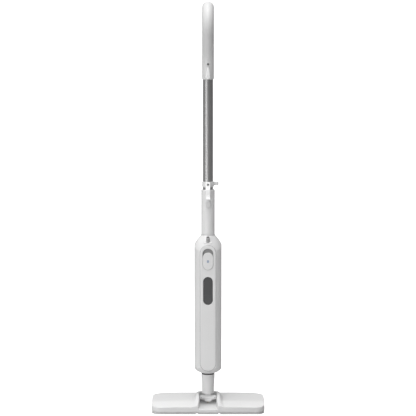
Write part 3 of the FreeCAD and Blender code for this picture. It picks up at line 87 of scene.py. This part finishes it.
def make_camera():
    """A long lens in front of the switch side, level with the top of the handle and tilted down."""
    data = bpy.data.cameras.new("camera")
    data.lens = CAMERA_LENS
    data.clip_end = CAMERA_REACH
    camera = bpy.data.objects.new("camera", data)
    bpy.context.scene.collection.objects.link(camera)
    camera.location = (0, -CAMERA_FAR, CAMERA_HEIGHT)
    camera.rotation_euler = (math.pi / 2 - math.radians(CAMERA_TILT), 0, 0)
    bpy.context.scene.camera = camera


# ---------------------------------------------------------------- stage and light
FLOOR_HALF = 400.0
FLOOR_RISE = 12.0
FLOOR_DROP = 0.0004
FLOOR_PAINT = (0.45, 0.45, 0.45, 1)
FLOOR_GLOW = 1.0
WALL_LEFT = 0.10
WALL_RIGHT = 0.04
WALL_BLEND = 0.75
CEILING = 0.8
CEILING_FROM = 0.05
CEILING_FULL = 0.75
# Name, place, point that it faces, width and height in metres, and watts.
LAMPS = (
    ("key_lamp", (-2.4, -2.6, 1.4), (0, 0, 0.7), (0.8, 2.8), 36),
    ("top_lamp", (-0.2, -0.4, 3.6), (0, 0, 0), (1.6, 1.6), 50),
    ("front_lamp", (-0.3, -2.4, 4.2), (0, 0, 0.5), (1.5, 1.5), 14),
    ("low_lamp", (-0.9, -1.7, 0.2), (0, 0, 0.2), (0.8, 0.5), 5.5),
)


def add_area(name, place, target, size, power):
    """A rectangular soft lamp that faces a point."""
    data = bpy.data.lights.new(name, "AREA")
    data.shape = "RECTANGLE"
    data.size, data.size_y = size
    data.energy = power
    lamp = bpy.data.objects.new(name, data)
    bpy.context.scene.collection.objects.link(lamp)
    lamp.location = place
    aim = Vector(target) - Vector(place)
    lamp.rotation_euler = aim.to_track_quat("-Z", "Y").to_euler()


def ramp(nodes, links, source, low, high, out_low, out_high):
    """A soft step of one number between two values."""
    node = nodes.new("ShaderNodeMapRange")
    node.interpolation_type = "SMOOTHSTEP"
    numbers = {"From Min": low, "From Max": high, "To Min": out_low, "To Max": out_high}
    for socket, number in numbers.items():
        node.inputs[socket].default_value = number
    links.new(source, node.inputs["Value"])
    return node.outputs[0]


def combine(nodes, links, first, second, operation="MULTIPLY"):
    """One number from two, each of them a plain number or another node's output."""
    node = nodes.new("ShaderNodeMath")
    node.operation = operation
    for socket, source in zip(node.inputs, (first, second)):
        if isinstance(source, (int, float)):
            socket.default_value = source
        else:
            links.new(source, socket)
    return node.outputs[0]


def make_floor():
    """A very wide pale floor, turned up at the far edges, that glows for the lens only like white paper."""
    mesh = bpy.data.meshes.new("floor")
    square = [(-FLOOR_HALF, -FLOOR_HALF), (FLOOR_HALF, -FLOOR_HALF), (FLOOR_HALF, FLOOR_HALF),
              (-FLOOR_HALF, FLOOR_HALF)]
    corners = [(x, y, z) for z in (0, FLOOR_RISE) for x, y in square]
    sides = [(k, k + 4, (k + 1) % 4 + 4, (k + 1) % 4) for k in range(4)]
    mesh.from_pydata(corners, [], [(0, 1, 2, 3)] + sides)
    floor = bpy.data.objects.new("floor", mesh)
    bpy.context.scene.collection.objects.link(floor)
    floor.location.z = -FLOOR_DROP
    paint = bpy.data.materials.new("floor_paint")
    paint.use_nodes = True
    nodes = paint.node_tree.nodes
    links = paint.node_tree.links
    shader = nodes["Principled BSDF"]
    shader.inputs["Base Color"].default_value = FLOOR_PAINT
    shader.inputs["Roughness"].default_value = 0.9
    shader.inputs["Specular IOR Level"].default_value = 0.1
    shader.inputs["Emission Color"].default_value = (1, 1, 1, 1)
    seen = nodes.new("ShaderNodeLightPath").outputs["Is Camera Ray"]
    links.new(combine(nodes, links, seen, FLOOR_GLOW), shader.inputs["Emission Strength"])
    mesh.materials.append(paint)


def make_room():
    """Light from a bright ceiling; the left wall is lighter than the right one."""
    world = bpy.data.worlds.new("room")
    bpy.context.scene.world = world
    world.use_nodes = True
    nodes = world.node_tree.nodes
    links = world.node_tree.links
    background = nodes["Background"]
    background.inputs["Color"].default_value = (1, 1, 1, 1)
    place = nodes.new("ShaderNodeTexCoord")
    split = nodes.new("ShaderNodeSeparateXYZ")
    links.new(place.outputs["Generated"], split.inputs[0])
    walls = ramp(nodes, links, split.outputs["X"], -WALL_BLEND, WALL_BLEND, WALL_LEFT, WALL_RIGHT)
    ceiling = ramp(nodes, links, split.outputs["Z"], CEILING_FROM, CEILING_FULL, 0.0, CEILING)
    links.new(combine(nodes, links, walls, ceiling, "ADD"), background.inputs["Strength"])


def make_stage():
    """Floor, room light and lamps, shown in plain screen colours."""
    make_floor()
    make_room()
    for name, place, target, size, power in LAMPS:
        add_area(name, place, target, size, power)
    bpy.context.scene.view_settings.view_transform = "Standard"


# ---------------------------------------------------------------- materials
# The colour mix node's colour sockets share their names with others, so they are found by number.
MIX_FIRST = 6
MIX_SECOND = 7
MIX_RESULT = 2
# Depth of the moulded grain in metres, and how far the painted edge highlight, the painted crease shade and
# the dust shift the colour.
FINE_GRAIN = 0.00002
PLAIN_GRAIN = 0.00003
COARSE_GRAIN = 0.00004
CREASE_SHADE = 0.45
EDGE_LIGHT = 1.04
DUST = 0.03


class Paint:
    """A node material built step by step round one Principled shader."""

    def __init__(self, name, colour, roughness, metallic=0.0, **plain):
        self.material = bpy.data.materials.new(name)
        self.material.use_nodes = True
        self.nodes = self.material.node_tree.nodes
        self.links = self.material.node_tree.links
        self.shader = self.nodes["Principled BSDF"]
        self.set("Base Color", (*colour, 1))
        self.set("Roughness", roughness)
        self.set("Metallic", metallic)
        for socket, number in plain.items():
            self.set(socket.replace("_", " "), number)
        self.colour = colour
        self.roughness = roughness
        self.place = self.nodes.new("ShaderNodeTexCoord").outputs["Object"]
        self.normal = None

    def set(self, socket, number):
        """Sets one of the shader's sockets."""
        self.shader.inputs[socket].default_value = number

    def new(self, kind, **inputs):
        """A node with its inputs set to numbers or linked to other outputs."""
        node = self.nodes.new(kind)
        for socket, source in inputs.items():
            target = node.inputs[socket.replace("_", " ")]
            if hasattr(source, "is_linked"):
                self.links.new(source, target)
            else:
                target.default_value = source
        return node

    def stretched(self, scale):
        """Object coordinates scaled by axis, so that a noise is drawn out along one of them."""
        node = self.new("ShaderNodeMapping", Vector=self.place, Scale=scale)
        return node.outputs[0]

    def noise(self, scale, detail=3.0, rough=0.5, vector=None):
        """Cloudy noise with this many waves per metre."""
        node = self.new("ShaderNodeTexNoise", Vector=vector or self.place, Scale=scale, Detail=detail,
                        Roughness=rough)
        return node.outputs["Fac"]

    def span(self, value, low, high, from_low=0.3, from_high=0.7):
        """Maps value from one range to another."""
        node = self.new("ShaderNodeMapRange", Value=value)
        node.inputs["From Min"].default_value = from_low
        node.inputs["From Max"].default_value = from_high
        node.inputs["To Min"].default_value = low
        node.inputs["To Max"].default_value = high
        return node.outputs[0]

    def tint(self, value, other, low=0.3, high=0.7):
        """Blends the base colour towards another one as value runs from low to high."""
        mix = self.nodes.new("ShaderNodeMix")
        mix.data_type = "RGBA"
        self.links.new(self.span(value, 0.0, 1.0, low, high), mix.inputs["Factor"])
        before = self.shader.inputs["Base Color"]
        if before.is_linked:
            self.links.new(before.links[0].from_socket, mix.inputs[MIX_FIRST])
        else:
            mix.inputs[MIX_FIRST].default_value = (*self.colour, 1)
        mix.inputs[MIX_SECOND].default_value = (*other, 1)
        self.links.new(mix.outputs[MIX_RESULT], before)
        return self

    def vary_roughness(self, value, spread):
        """Duller where value is high and glossier where it is low."""
        varied = self.span(value, self.roughness - spread, self.roughness + spread)
        self.links.new(varied, self.shader.inputs["Roughness"])
        return self

    def bump(self, value, distance, strength):
        """Raises the surface where value is high, on top of any bump that is there already."""
        node = self.new("ShaderNodeBump", Height=value, Distance=distance, Strength=strength)
        if self.normal:
            self.links.new(self.normal, node.inputs["Normal"])
        self.normal = node.outputs[0]
        self.links.new(self.normal, self.shader.inputs["Normal"])
        return self

    def sharpness(self):
        """High along outer edges, low in grooves and inner corners, and 0.5 on a level face."""
        return self.nodes.new("ShaderNodeNewGeometry").outputs["Pointiness"]

    def painted_edge_highlight(self, colour):
        """Painted highlight: a slightly different tone, lighter where it is used, along the outer edges."""
        return self.tint(self.sharpness(), colour, 0.53, 0.6)

    def painted_crease_shade(self, colour):
        """Painted shade: a darker tone in grooves and inner corners."""
        return self.tint(self.sharpness(), colour, 0.48, 0.40)


def moulded(name, colour, roughness, grain=PLAIN_GRAIN):
    """Injection-moulded plastic: fine spark texture, faint flow shading, edges lightened as a painted
    highlight and creases darkened as painted shade.
    """
    paint = Paint(name, colour, roughness)
    fine = paint.noise(2600.0, 2.0)
    broad = paint.noise(9.0, 4.0, 0.6)
    paint.tint(broad, [c * (1 - DUST) for c in colour], 0.35, 0.75)
    # Painted highlight: the outer edges a little lighter.
    paint.painted_edge_highlight([min(1.0, c * EDGE_LIGHT) for c in colour])
    # Painted shade: grooves and inner corners darker.
    paint.painted_crease_shade([c * CREASE_SHADE for c in colour])
    paint.vary_roughness(paint.noise(34.0, 5.0, 0.65), 0.05)
    paint.bump(fine, grain, 0.6)
    paint.bump(paint.noise(320.0, 3.0), grain * 1.5, 0.35)
    return paint.material


def brushed_aluminium():
    """Satin tube with fine lines along its length."""
    paint = Paint("tube_aluminium", (0.44, 0.44, 0.44), 0.42, 1.0, Anisotropic=0.45)
    lines = paint.noise(1.0, 4.0, 0.7, paint.stretched((4200.0, 4200.0, 60.0)))
    paint.tint(lines, (0.36, 0.36, 0.36))
    paint.vary_roughness(lines, 0.07)
    paint.bump(lines, 0.00002, 0.5)
    paint.bump(paint.noise(60.0, 3.0), 0.00004, 0.2)
    return paint.material


def cast_metal():
    """Die-cast boiler block with a sandy skin."""
    paint = Paint("cast_metal", (0.5, 0.5, 0.5), 0.5, 1.0)
    paint.tint(paint.noise(60.0, 5.0, 0.7), (0.34, 0.34, 0.34))
    paint.bump(paint.noise(700.0, 4.0, 0.7), 0.0002, 0.7)
    paint.vary_roughness(paint.noise(90.0, 3.0), 0.1)
    return paint.material


def turned_steel():
    """Screws, pins and springs with fine turning marks."""
    paint = Paint("steel", (0.52, 0.52, 0.53), 0.3, 1.0)
    paint.tint(paint.noise(400.0, 4.0, 0.7), (0.4, 0.4, 0.41))
    paint.vary_roughness(paint.noise(900.0, 3.0), 0.08)
    marks = paint.noise(1.0, 3.0, 0.6, paint.stretched((300.0, 300.0, 3000.0)))
    paint.bump(marks, 0.00002, 0.4)
    return paint.material


def smoked_lens():
    """Dark glossy window over the water tank."""
    paint = Paint("smoked_lens", (0.075, 0.075, 0.077), 0.16, Coat_Weight=0.6, Coat_Roughness=0.06)
    paint.tint(paint.noise(14.0, 3.0), (0.06, 0.06, 0.062))
    paint.vary_roughness(paint.noise(70.0, 4.0), 0.04)
    paint.bump(paint.noise(160.0, 2.0), 0.00001, 0.3)
    return paint.material


def lens_plastic():
    """Bluish frosted lens of the indicator light."""
    paint = Paint("lens_plastic", (0.36, 0.42, 0.52), 0.3, Coat_Weight=0.3)
    paint.tint(paint.noise(500.0, 2.0), (0.30, 0.36, 0.47))
    paint.vary_roughness(paint.noise(700.0, 2.0), 0.05)
    paint.bump(paint.noise(1500.0, 2.0), 0.00002, 0.4)
    return paint.material


def tank_plastic():
    """Cloudy see-through plastic of the water tank."""
    paint = Paint("tank_plastic", (0.66, 0.70, 0.73), 0.2, Transmission_Weight=0.6)
    paint.tint(paint.noise(20.0, 3.0), (0.6, 0.65, 0.69))
    paint.vary_roughness(paint.noise(60.0, 4.0), 0.08)
    paint.bump(paint.noise(240.0, 3.0), 0.00004, 0.4)
    return paint.material


def hook_fabric():
    """Dull woven nylon of the hook strips."""
    paint = Paint("hook_fabric", (0.16, 0.16, 0.16), 0.7, Sheen_Weight=0.4)
    paint.tint(paint.noise(1500.0, 3.0), (0.24, 0.24, 0.24))
    paint.vary_roughness(paint.noise(800.0, 2.0), 0.1)
    paint.bump(paint.noise(1200.0, 3.0), 0.0001, 0.6)
    return paint.material


def board_green():
    """Lacquered circuit board with faint copper runs."""
    paint = Paint("board_green", (0.04, 0.16, 0.07), 0.35)
    runs = paint.noise(260.0, 1.0)
    paint.tint(runs, (0.07, 0.25, 0.11), 0.48, 0.52)
    paint.vary_roughness(paint.noise(300.0, 3.0), 0.1)
    paint.bump(runs, 0.00005, 0.6)
    return paint.material


def make_materials():
    """Every finish by name: those of the record's slots, and a few tones of the white plastic, some lighter
    as painted light and some darker as painted shade.
    """
    paints = {
        "white_plastic": moulded("white_plastic", (0.70, 0.70, 0.70), 0.42),
        "panel_plastic": moulded("panel_plastic", (0.72, 0.72, 0.72), 0.34, FINE_GRAIN),
        # A darker copy of the white plastic for the handle, its collar and screws: partly the grip's own
        # tone, partly painted shade.
        "grip_plastic_with_shade": moulded("grip_plastic_with_shade", (0.60, 0.60, 0.60), 0.46),
        # A lighter, glossier copy of the white plastic: its extra brightness is painted light on the
        # crosspiece and the cord hooks, and the hook pin takes it to match the hook.
        "gloss_plastic_with_light": moulded("gloss_plastic_with_light", (0.86, 0.86, 0.86), 0.3, FINE_GRAIN),
        # Painted shade: dark grey for the front shell's faces in the panel seat, so that the seam round the
        # panel and the switch slot read dark.
        "seat_painted_shade": moulded("seat_painted_shade", (0.30, 0.30, 0.30), 0.55),
        "button_plastic": moulded("button_plastic", (0.14, 0.14, 0.14), 0.4),
        "grey_plastic": moulded("grey_plastic", (0.55, 0.55, 0.55), 0.5, COARSE_GRAIN),
        "gland_rubber": moulded("gland_rubber", (0.46, 0.46, 0.46), 0.62, COARSE_GRAIN),
        # Near-black rubber of the seals; it also paints the cord gland's bore, as painted shade.
        "seal_rubber": moulded("seal_rubber", (0.03, 0.03, 0.03), 0.7, COARSE_GRAIN),
        "hose_rubber": moulded("hose_rubber", (0.62, 0.58, 0.50), 0.45),
        "lead_insulation": moulded("lead_insulation", (0.16, 0.16, 0.18), 0.5),
        "tube_aluminium": brushed_aluminium(),
        "cast_metal": cast_metal(),
        "steel": turned_steel(),
        "smoked_lens": smoked_lens(),
        "lens_plastic": lens_plastic(),
        "tank_plastic": tank_plastic(),
        "hook_fabric": hook_fabric(),
        "board_green": board_green(),
    }
    return paints


# ---------------------------------------------------------------- finishes of the CAD nodes
# These nodes have a tone of their own; the lighter one of the crosspiece, cord hooks and hook pin is
# painted light, and the darker one of the handle, collar and screws is partly their own tone and partly
# painted shade. The others take the finish that is named like their slot.
OWN_FINISH = {
    "front_panel": "panel_plastic",
    "switch_knob": "panel_plastic",
    # Painted light: the crosspiece, cord hooks and hook pin take the lighter copy of the white plastic.
    "crosspiece": "gloss_plastic_with_light",
    "upper_cord_hook": "gloss_plastic_with_light",
    "lower_cord_hook": "gloss_plastic_with_light",
    "hook_pivot_pin": "gloss_plastic_with_light",
    # Partly painted shade: the handle, its collar and screws take the darker copy of the white plastic.
    "handle_left": "grip_plastic_with_shade",
    "handle_right": "grip_plastic_with_shade",
    "handle_screws": "grip_plastic_with_shade",
    "upper_collar": "grip_plastic_with_shade",
    "upper_release_button": "button_plastic",
}


def dress_cad_nodes(paints):
    """Every CAD node that still shows takes one finish all over."""
    slots = {row["node"]: row["material_slot"] for row in frame["record"]["subparts"]}
    for name, node in NODES.items():
        node.data.materials.clear()
        node.data.materials.append(paints[OWN_FINISH.get(name, slots[name])])
        node.data.polygons.foreach_set("material_index", [0] * len(node.data.polygons))


def shade_faces(node, paint, wanted):
    """Gives a second material to the faces of a CAD node that a test picks out; here it paints shade into
    the panel seat and the gland's bore.
    """
    node.data.materials.append(paint)
    turn = node.matrix_world.to_3x3()
    for polygon in node.data.polygons:
        if wanted(node.matrix_world @ polygon.center, turn @ polygon.normal):
            polygon.material_index = 1


class Seat:
    """The seat that the front panel lies in, in metres, worked out from the CAD panel."""

    low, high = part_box("front_panel")
    seam = 1.0 * MM
    half = high.x + seam
    arc_low = low.z + high.x
    arc_high = high.z - high.x
    rim = -36.9 * MM
    deepest = -30 * MM


def in_panel_seat(place, normal):
    """True for the shell's faces under and round the front panel that can be seen past it."""
    run = min(max(place.z, Seat.arc_low), Seat.arc_high)
    inside = math.hypot(place.x, place.z - run) < Seat.half
    faces_out = normal.y < 0.5
    return inside and Seat.rim < place.y < Seat.deepest and faces_out


class Gland:
    """The line through the cord gland's bore, in metres, from the record's mount."""

    mount = next(row for row in frame["record"]["mounts"] if row["name"] == "cord_inlet")
    centre = Vector(mount["pos_m"])
    axis = Vector(mount["axis"])
    slack = 0.3 * MM
    bore = mount["dims"]["r_mm"] * MM + slack


def in_gland_bore(place, normal):
    """True for the faces of the hole that the cord runs through."""
    arm = place - Gland.centre
    return (arm - Gland.axis * arm.dot(Gland.axis)).length < Gland.bore


# ---------------------------------------------------------------- mop head cover
class Head:
    """Outline, wall and recess of the mop head, in metres, around the CAD head cover."""

    low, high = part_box("head_cover")
    half_wide = high.x
    front = low.y
    back = high.y
    foot = low.z
    crest = high.z
    front_corner = 26 * MM
    back_corner = 40 * MM
    wall = 2.6 * MM
    rim = 3.2 * MM
    front_rim = 1.2 * MM
    rim_run = 50 * MM
    channel_half = 24 * MM
    channel_front_half = 28 * MM
    channel_back = 19 * MM
    channel_corner = 9 * MM
    taper_from = -42 * MM


class Deck:
    """How the deck falls away: each fall has a start, a run and a depth."""

    height = 30 * MM
    front_start, front_run, front_fall = 28 * MM, 62 * MM, 9.5 * MM
    rear_start, rear_run, rear_fall = 48 * MM, 36 * MM, 2.2 * MM
    end_start, end_run, end_fall = 75 * MM, 90 * MM, 1.6 * MM


class Ridge:
    """The horseshoe ridge: where along the head it rises and fades, and its shape across."""

    rise_start, rise_run = -72 * MM, 62 * MM
    fade_start, fade_run = 40 * MM, 30 * MM
    front_lift = 2.6 * MM
    spare = 2.2 * MM
    full_lift = Head.crest - Deck.height - spare
    crest_away = 7 * MM
    foot_away, foot_more = 19 * MM, 9 * MM
    spread_start, spread_run = 12 * MM, 20 * MM
    inner_fall, inner_most = 0.16, 4.0
    flank_power = 1.15
    crease_wide, crease_deep = 2.2 * MM, 0.45 * MM


class Recess:
    """The recess that the joint sits in: its floor, its soft wall and the ceiling under it."""

    floor = 14 * MM
    floor_start, floor_run, floor_rise = -10 * MM, 30 * MM, 1.2 * MM
    wall_half = 1.3 * MM
    ceiling_start, ceiling_run = 2 * MM, 2 * MM


def corner_at(y):
    """The nearest corner's radius and how far y runs into it."""
    if y < Head.front + Head.front_corner:
        return Head.front_corner, Head.front + Head.front_corner - y
    if y > Head.back - Head.back_corner:
        return Head.back_corner, y - Head.back + Head.back_corner
    return 0.0, 0.0


def half_width(y, inset=0.0):
    """Half of the head's width at y, with the outline drawn in by inset."""
    radius, into = corner_at(y)
    flat = Head.half_wide - radius
    radius = max(0.0, radius - inset)
    return flat + math.sqrt(max(0.0, radius ** 2 - into ** 2)) if into > 0 else Head.half_wide - inset


def edge_distance(x, y):
    """How far a place is inside the head's outline."""
    radius, into = corner_at(y)
    out = abs(x) - (Head.half_wide - radius)
    if into > 0 and out > 0:
        return radius - math.hypot(into, out)
    return min(Head.half_wide - abs(x), y - Head.front, Head.back - y)


def channel_half(y):
    """Half of the recess's width at y: it widens towards the front."""
    widening = rise(-y, -Head.taper_from, Head.taper_from - Head.front)
    return Head.channel_half + (Head.channel_front_half - Head.channel_half) * widening


def channel_distance(x, y):
    """How far a place is outside the recess that the neck swings through; minus inside it."""
    side = abs(x) - channel_half(y)
    rear = y - Head.channel_back
    corner = Head.channel_corner
    if side > -corner and rear > -corner:
        return math.hypot(side + corner, rear + corner) - corner
    return max(side, rear)


def deck_height(x, y):
    """A nearly level deck that falls away to the front edge and at the two ends."""
    front = rise(-y, Deck.front_start, Deck.front_run) * Deck.front_fall
    rear = rise(y, Deck.rear_start, Deck.rear_run) * Deck.rear_fall
    ends = rise(abs(x), Deck.end_start, Deck.end_run) * Deck.end_fall
    return Deck.height - front - rear - ends


def ridge_height(y, away):
    """The horseshoe ridge round the recess: highest beside the axle, low at the front."""
    fade = 1 - rise(y, Ridge.fade_start, Ridge.fade_run)
    lift = (Ridge.front_lift + Ridge.full_lift * rise(y, Ridge.rise_start, Ridge.rise_run)) * fade
    foot_away = Ridge.foot_away + Ridge.foot_more * rise(y, Ridge.spread_start, Ridge.spread_run)
    if away < Ridge.crest_away:
        fall = ((Ridge.crest_away - away) / Ridge.crest_away) ** 2
        return lift * (1 - Ridge.inner_fall * min(fall, Ridge.inner_most))
    outward = min(1.0, (away - Ridge.crest_away) / (foot_away - Ridge.crest_away))
    crease = math.exp(-((away - foot_away) / Ridge.crease_wide) ** 2) * Ridge.crease_deep
    return lift * (0.5 + 0.5 * math.cos(math.pi * outward)) ** Ridge.flank_power - crease * fade


def rim_drop(x, y):
    """How far the rounded rim has dropped below the deck at a place."""
    radius = Head.front_rim + (Head.rim - Head.front_rim) * rise(y, Head.front, Head.rim_run)
    inside = max(0.0, edge_distance(x, y))
    if inside >= radius:
        return 0.0
    return radius - math.sqrt(max(0.0, radius ** 2 - (radius - inside) ** 2))


def cover_top(x, y):
    """The outer face: recess floor, recess wall, ridge, deck and rim."""
    away = channel_distance(x, y)
    land = deck_height(x, y) + ridge_height(y, away)
    floor = Recess.floor + Recess.floor_rise * rise(y, Recess.floor_start, Recess.floor_run)
    on_land = rise(away, -Recess.wall_half, 2 * Recess.wall_half)
    return floor + (land - floor) * on_land - rim_drop(x, y)


def cover_ceiling(x, y):
    """The inner face: level with the deck's underside and dropped under the recess."""
    away = channel_distance(x, y)
    low = Recess.floor - Head.wall
    high = deck_height(x, y) - Head.rim - Head.wall
    return low + (high - low) * rise(away, Recess.ceiling_start, Recess.ceiling_run)


# The grid over the head. Columns run from the middle to one end as stretches, each with its
# end in mm and its number of steps; they are closest together at the recess wall. Rows are
# closest together at the rear wall of the recess and follow the corners by angle.
COLUMN_STRETCHES = ((20, 6), (22, 2), (26.4, 11), (46, 14), (62, 6))
END_STRETCH = 7
END_STEPS = (14, 10)
COLUMNS_KEPT = 62 * MM
CORNER_STEP = 6
FRONT_ROWS = range(-50, 16, 3)
WALL_ROWS = [16.4 + 0.55 * k for k in range(10)]
REAR_ROWS = range(23, 34, 2)
SIDE_LEVELS = 4


def spread(stretches):
    """Numbers from 0 through stretches that each have an end and a number of steps."""
    out = [0.0]
    for end, steps in stretches:
        start = out[-1]
        out += [start + (end - start) * (k + 1) / steps for k in range(steps)]
    return out


def grid_columns():
    """Places across the head, from the left end to the right end, before they are fitted to a row."""
    end = Head.half_wide / MM
    ends = ((end - END_STRETCH, END_STEPS[0]), (end, END_STEPS[1]))
    right = [c * MM for c in spread(COLUMN_STRETCHES + ends)]
    return [-c for c in reversed(right[1:])] + right


def grid_rows():
    """Places along the head, from the front edge to the back edge."""
    front = [Head.front + Head.front_corner * (1 - math.cos(math.radians(turn)))
             for turn in range(0, 90, CORNER_STEP)]
    back = [Head.back - Head.back_corner * (1 - math.cos(math.radians(turn)))
            for turn in range(90 - CORNER_STEP, -1, -CORNER_STEP)]
    middle = [y * MM for y in (*FRONT_ROWS, *WALL_ROWS, *REAR_ROWS)]
    return front + middle + back


def fitted(column, y, widest):
    """A column's x on one row: it keeps to the recess wall and ends at the outline."""
    size = abs(column)
    widening = channel_half(y) - Head.channel_half
    if size <= Head.channel_half:
        x = size + widening * size / Head.channel_half
    elif size <= COLUMNS_KEPT:
        x = size + widening * (COLUMNS_KEPT - size) / (COLUMNS_KEPT - Head.channel_half)
    else:
        x = COLUMNS_KEPT + (size - COLUMNS_KEPT) * (widest - COLUMNS_KEPT) / (Head.half_wide - COLUMNS_KEPT)
    return math.copysign(x, column)


def grid_places(inset):
    """Rows of (x, y) over the head, with the outline drawn in by inset."""
    columns = grid_columns()
    return [[(fitted(c, y, half_width(y, inset)), y) for c in columns] for y in grid_rows()]


def skin_faces(rows, columns, first, outward):
    """The faces of one grid of places, wound to face up or down."""
    faces = []
    for r in range(rows - 1):
        for c in range(columns - 1):
            a = first + r * columns + c
            face = (a, a + 1, a + columns + 1, a + columns)
            faces.append(face if outward else face[::-1])
    return faces


def grid_border(rows, columns):
    """The numbers of a grid's outermost places, once round."""
    ring = list(range(columns))
    ring += [r * columns + columns - 1 for r in range(1, rows)]
    ring += [(rows - 1) * columns + c for c in range(columns - 2, -1, -1)]
    ring += [r * columns for r in range(rows - 2, 0, -1)]
    return ring


def make_head_cover(paints):
    """The moulded cover as one closed shell: top skin, side wall, foot and ceiling."""
    outer = grid_places(0.0)
    rows, columns = len(outer), len(outer[0])
    verts = [(x, y, cover_top(x, y)) for line in outer for x, y in line]
    first_inner = len(verts)
    scale_y = (Head.back - Head.wall) / Head.back
    inner = [(x, y * scale_y) for line in grid_places(Head.wall) for x, y in line]
    verts += [(x, y, cover_ceiling(x, y)) for x, y in inner]
    faces = skin_faces(rows, columns, 0, True) + skin_faces(rows, columns, first_inner, False)

    border = grid_border(rows, columns)
    rings = [border]
    for step in range(1, SIDE_LEVELS + 1):
        start = len(verts)
        for i in border:
            x, y, z = verts[i]
            verts.append((x, y, z + (Head.foot - z) * step / SIDE_LEVELS))
        rings.append(list(range(start, len(verts))))
    inner_top = [first_inner + i for i in border]
    start = len(verts)
    verts += [(verts[i][0], verts[i][1], Head.foot) for i in inner_top]
    rings += [list(range(start, len(verts))), inner_top]
    for upper, lower in zip(rings, rings[1:]):
        for k in range(len(border)):
            after = (k + 1) % len(border)
            faces.append((upper[after], upper[k], lower[k], lower[after]))
    cover = add_mesh("head_cover_skin", verts, faces, "head", paints["white_plastic"])
    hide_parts("head_cover")
    return cover


# ---------------------------------------------------------------- hook strips under the head
class Tape:
    """The four hook strips, in metres, at the places of the CAD strips."""

    low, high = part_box("hook_and_loop_strips")
    inner = 48 * MM
    front_deep = 24 * MM
    rear_deep = 18 * MM
    backing = 0.5 * MM
    pitch = 1.9 * MM
    margin = 1.6 * MM
    wire = 0.18 * MM
    reach = 0.5 * MM
    # A hook's centre line as shares of its reach sideways and its drop.
    path = ((0, 0), (0, 0.55), (0.3, 0.9), (0.7, 1.0), (1.0, 0.75))


def add_block(verts, faces, low, high):
    """A closed box between two corners."""
    first = len(verts)
    square = ((low[0], low[1]), (high[0], low[1]), (high[0], high[1]), (low[0], high[1]))
    verts += [(x, y, z) for z in (low[2], high[2]) for x, y in square]
    faces += [tuple(first + k for k in face) for face in (
        (3, 2, 1, 0), (4, 5, 6, 7), (0, 1, 5, 4), (1, 2, 6, 5), (2, 3, 7, 6), (3, 0, 4, 7))]


def add_hook(verts, faces, x, y, facing):
    """One square-section hook that hangs from the backing and curls to one side."""
    half = Tape.wire / 2
    top = Tape.high.z - Tape.backing
    drop = top - Tape.low.z - half
    first = len(verts)
    for k, (out, down) in enumerate(Tape.path):
        before = Tape.path[max(0, k - 1)]
        after = Tape.path[min(len(Tape.path) - 1, k + 1)]
        run = ((after[0] - before[0]) * Tape.reach, (before[1] - after[1]) * drop)
        size = math.hypot(*run)
        across = (run[1] / size * half, -run[0] / size * half)
        for side, edge in ((-1, -1), (1, -1), (1, 1), (-1, 1)):
            verts.append((
                x + facing * (out * Tape.reach + side * across[0]),
                y + facing * edge * half,
                top - down * drop + side * across[1],
            ))
    for k in range(len(Tape.path) - 1):
        for side in range(4):
            a = first + 4 * k + side
            b = first + 4 * k + (side + 1) % 4
            faces.append((a, b, b + 4, a + 4))
    last = first + 4 * (len(Tape.path) - 1)
    faces.append((first + 3, first + 2, first + 1, first))
    faces.append((last, last + 1, last + 2, last + 3))


def add_strip(verts, faces, low, high):
    """One strip between two corners: a backing, and rows of hooks that face left and right by turns."""
    back_low = Tape.high.z - Tape.backing
    add_block(verts, faces, (low[0], low[1], back_low), (high[0], high[1], Tape.high.z))
    columns, rows = (int((b - a - 2 * Tape.margin) / Tape.pitch) + 1 for a, b in zip(low, high))
    for row in range(rows):
        y = low[1] + Tape.margin + row * Tape.pitch
        for column in range(columns):
            x = low[0] + Tape.margin + column * Tape.pitch
            add_hook(verts, faces, x, y, 1 if row % 2 else -1)


def make_hook_strips(paints):
    """Two strips of hook tape on each half of the plate."""
    verts = []
    faces = []
    for hand in (-1, 1):
        x_low, x_high = sorted((hand * Tape.inner, hand * Tape.high.x))
        add_strip(verts, faces, (x_low, Tape.low.y), (x_high, Tape.low.y + Tape.front_deep))
        add_strip(verts, faces, (x_low, Tape.high.y - Tape.rear_deep), (x_high, Tape.high.y))
    tape = add_mesh("hook_tape", verts, faces, "head", paints["hook_fabric"], smooth=False)
    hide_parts("hook_and_loop_strips")
    return tape


# ---------------------------------------------------------------- the whole scene
make_camera()
make_stage()
PAINTS = make_materials()
dress_cad_nodes(PAINTS)
# Painted shade: the shell's faces round the panel and in the switch slot turn dark grey.
shade_faces(NODES["front_shell"], PAINTS["seat_painted_shade"], in_panel_seat)
# Painted shade: the faces of the gland's bore take the near-black seal rubber.
shade_faces(NODES["cord_gland"], PAINTS["seal_rubber"], in_gland_bore)
make_head_cover(PAINTS)
make_hook_strips(PAINTS)
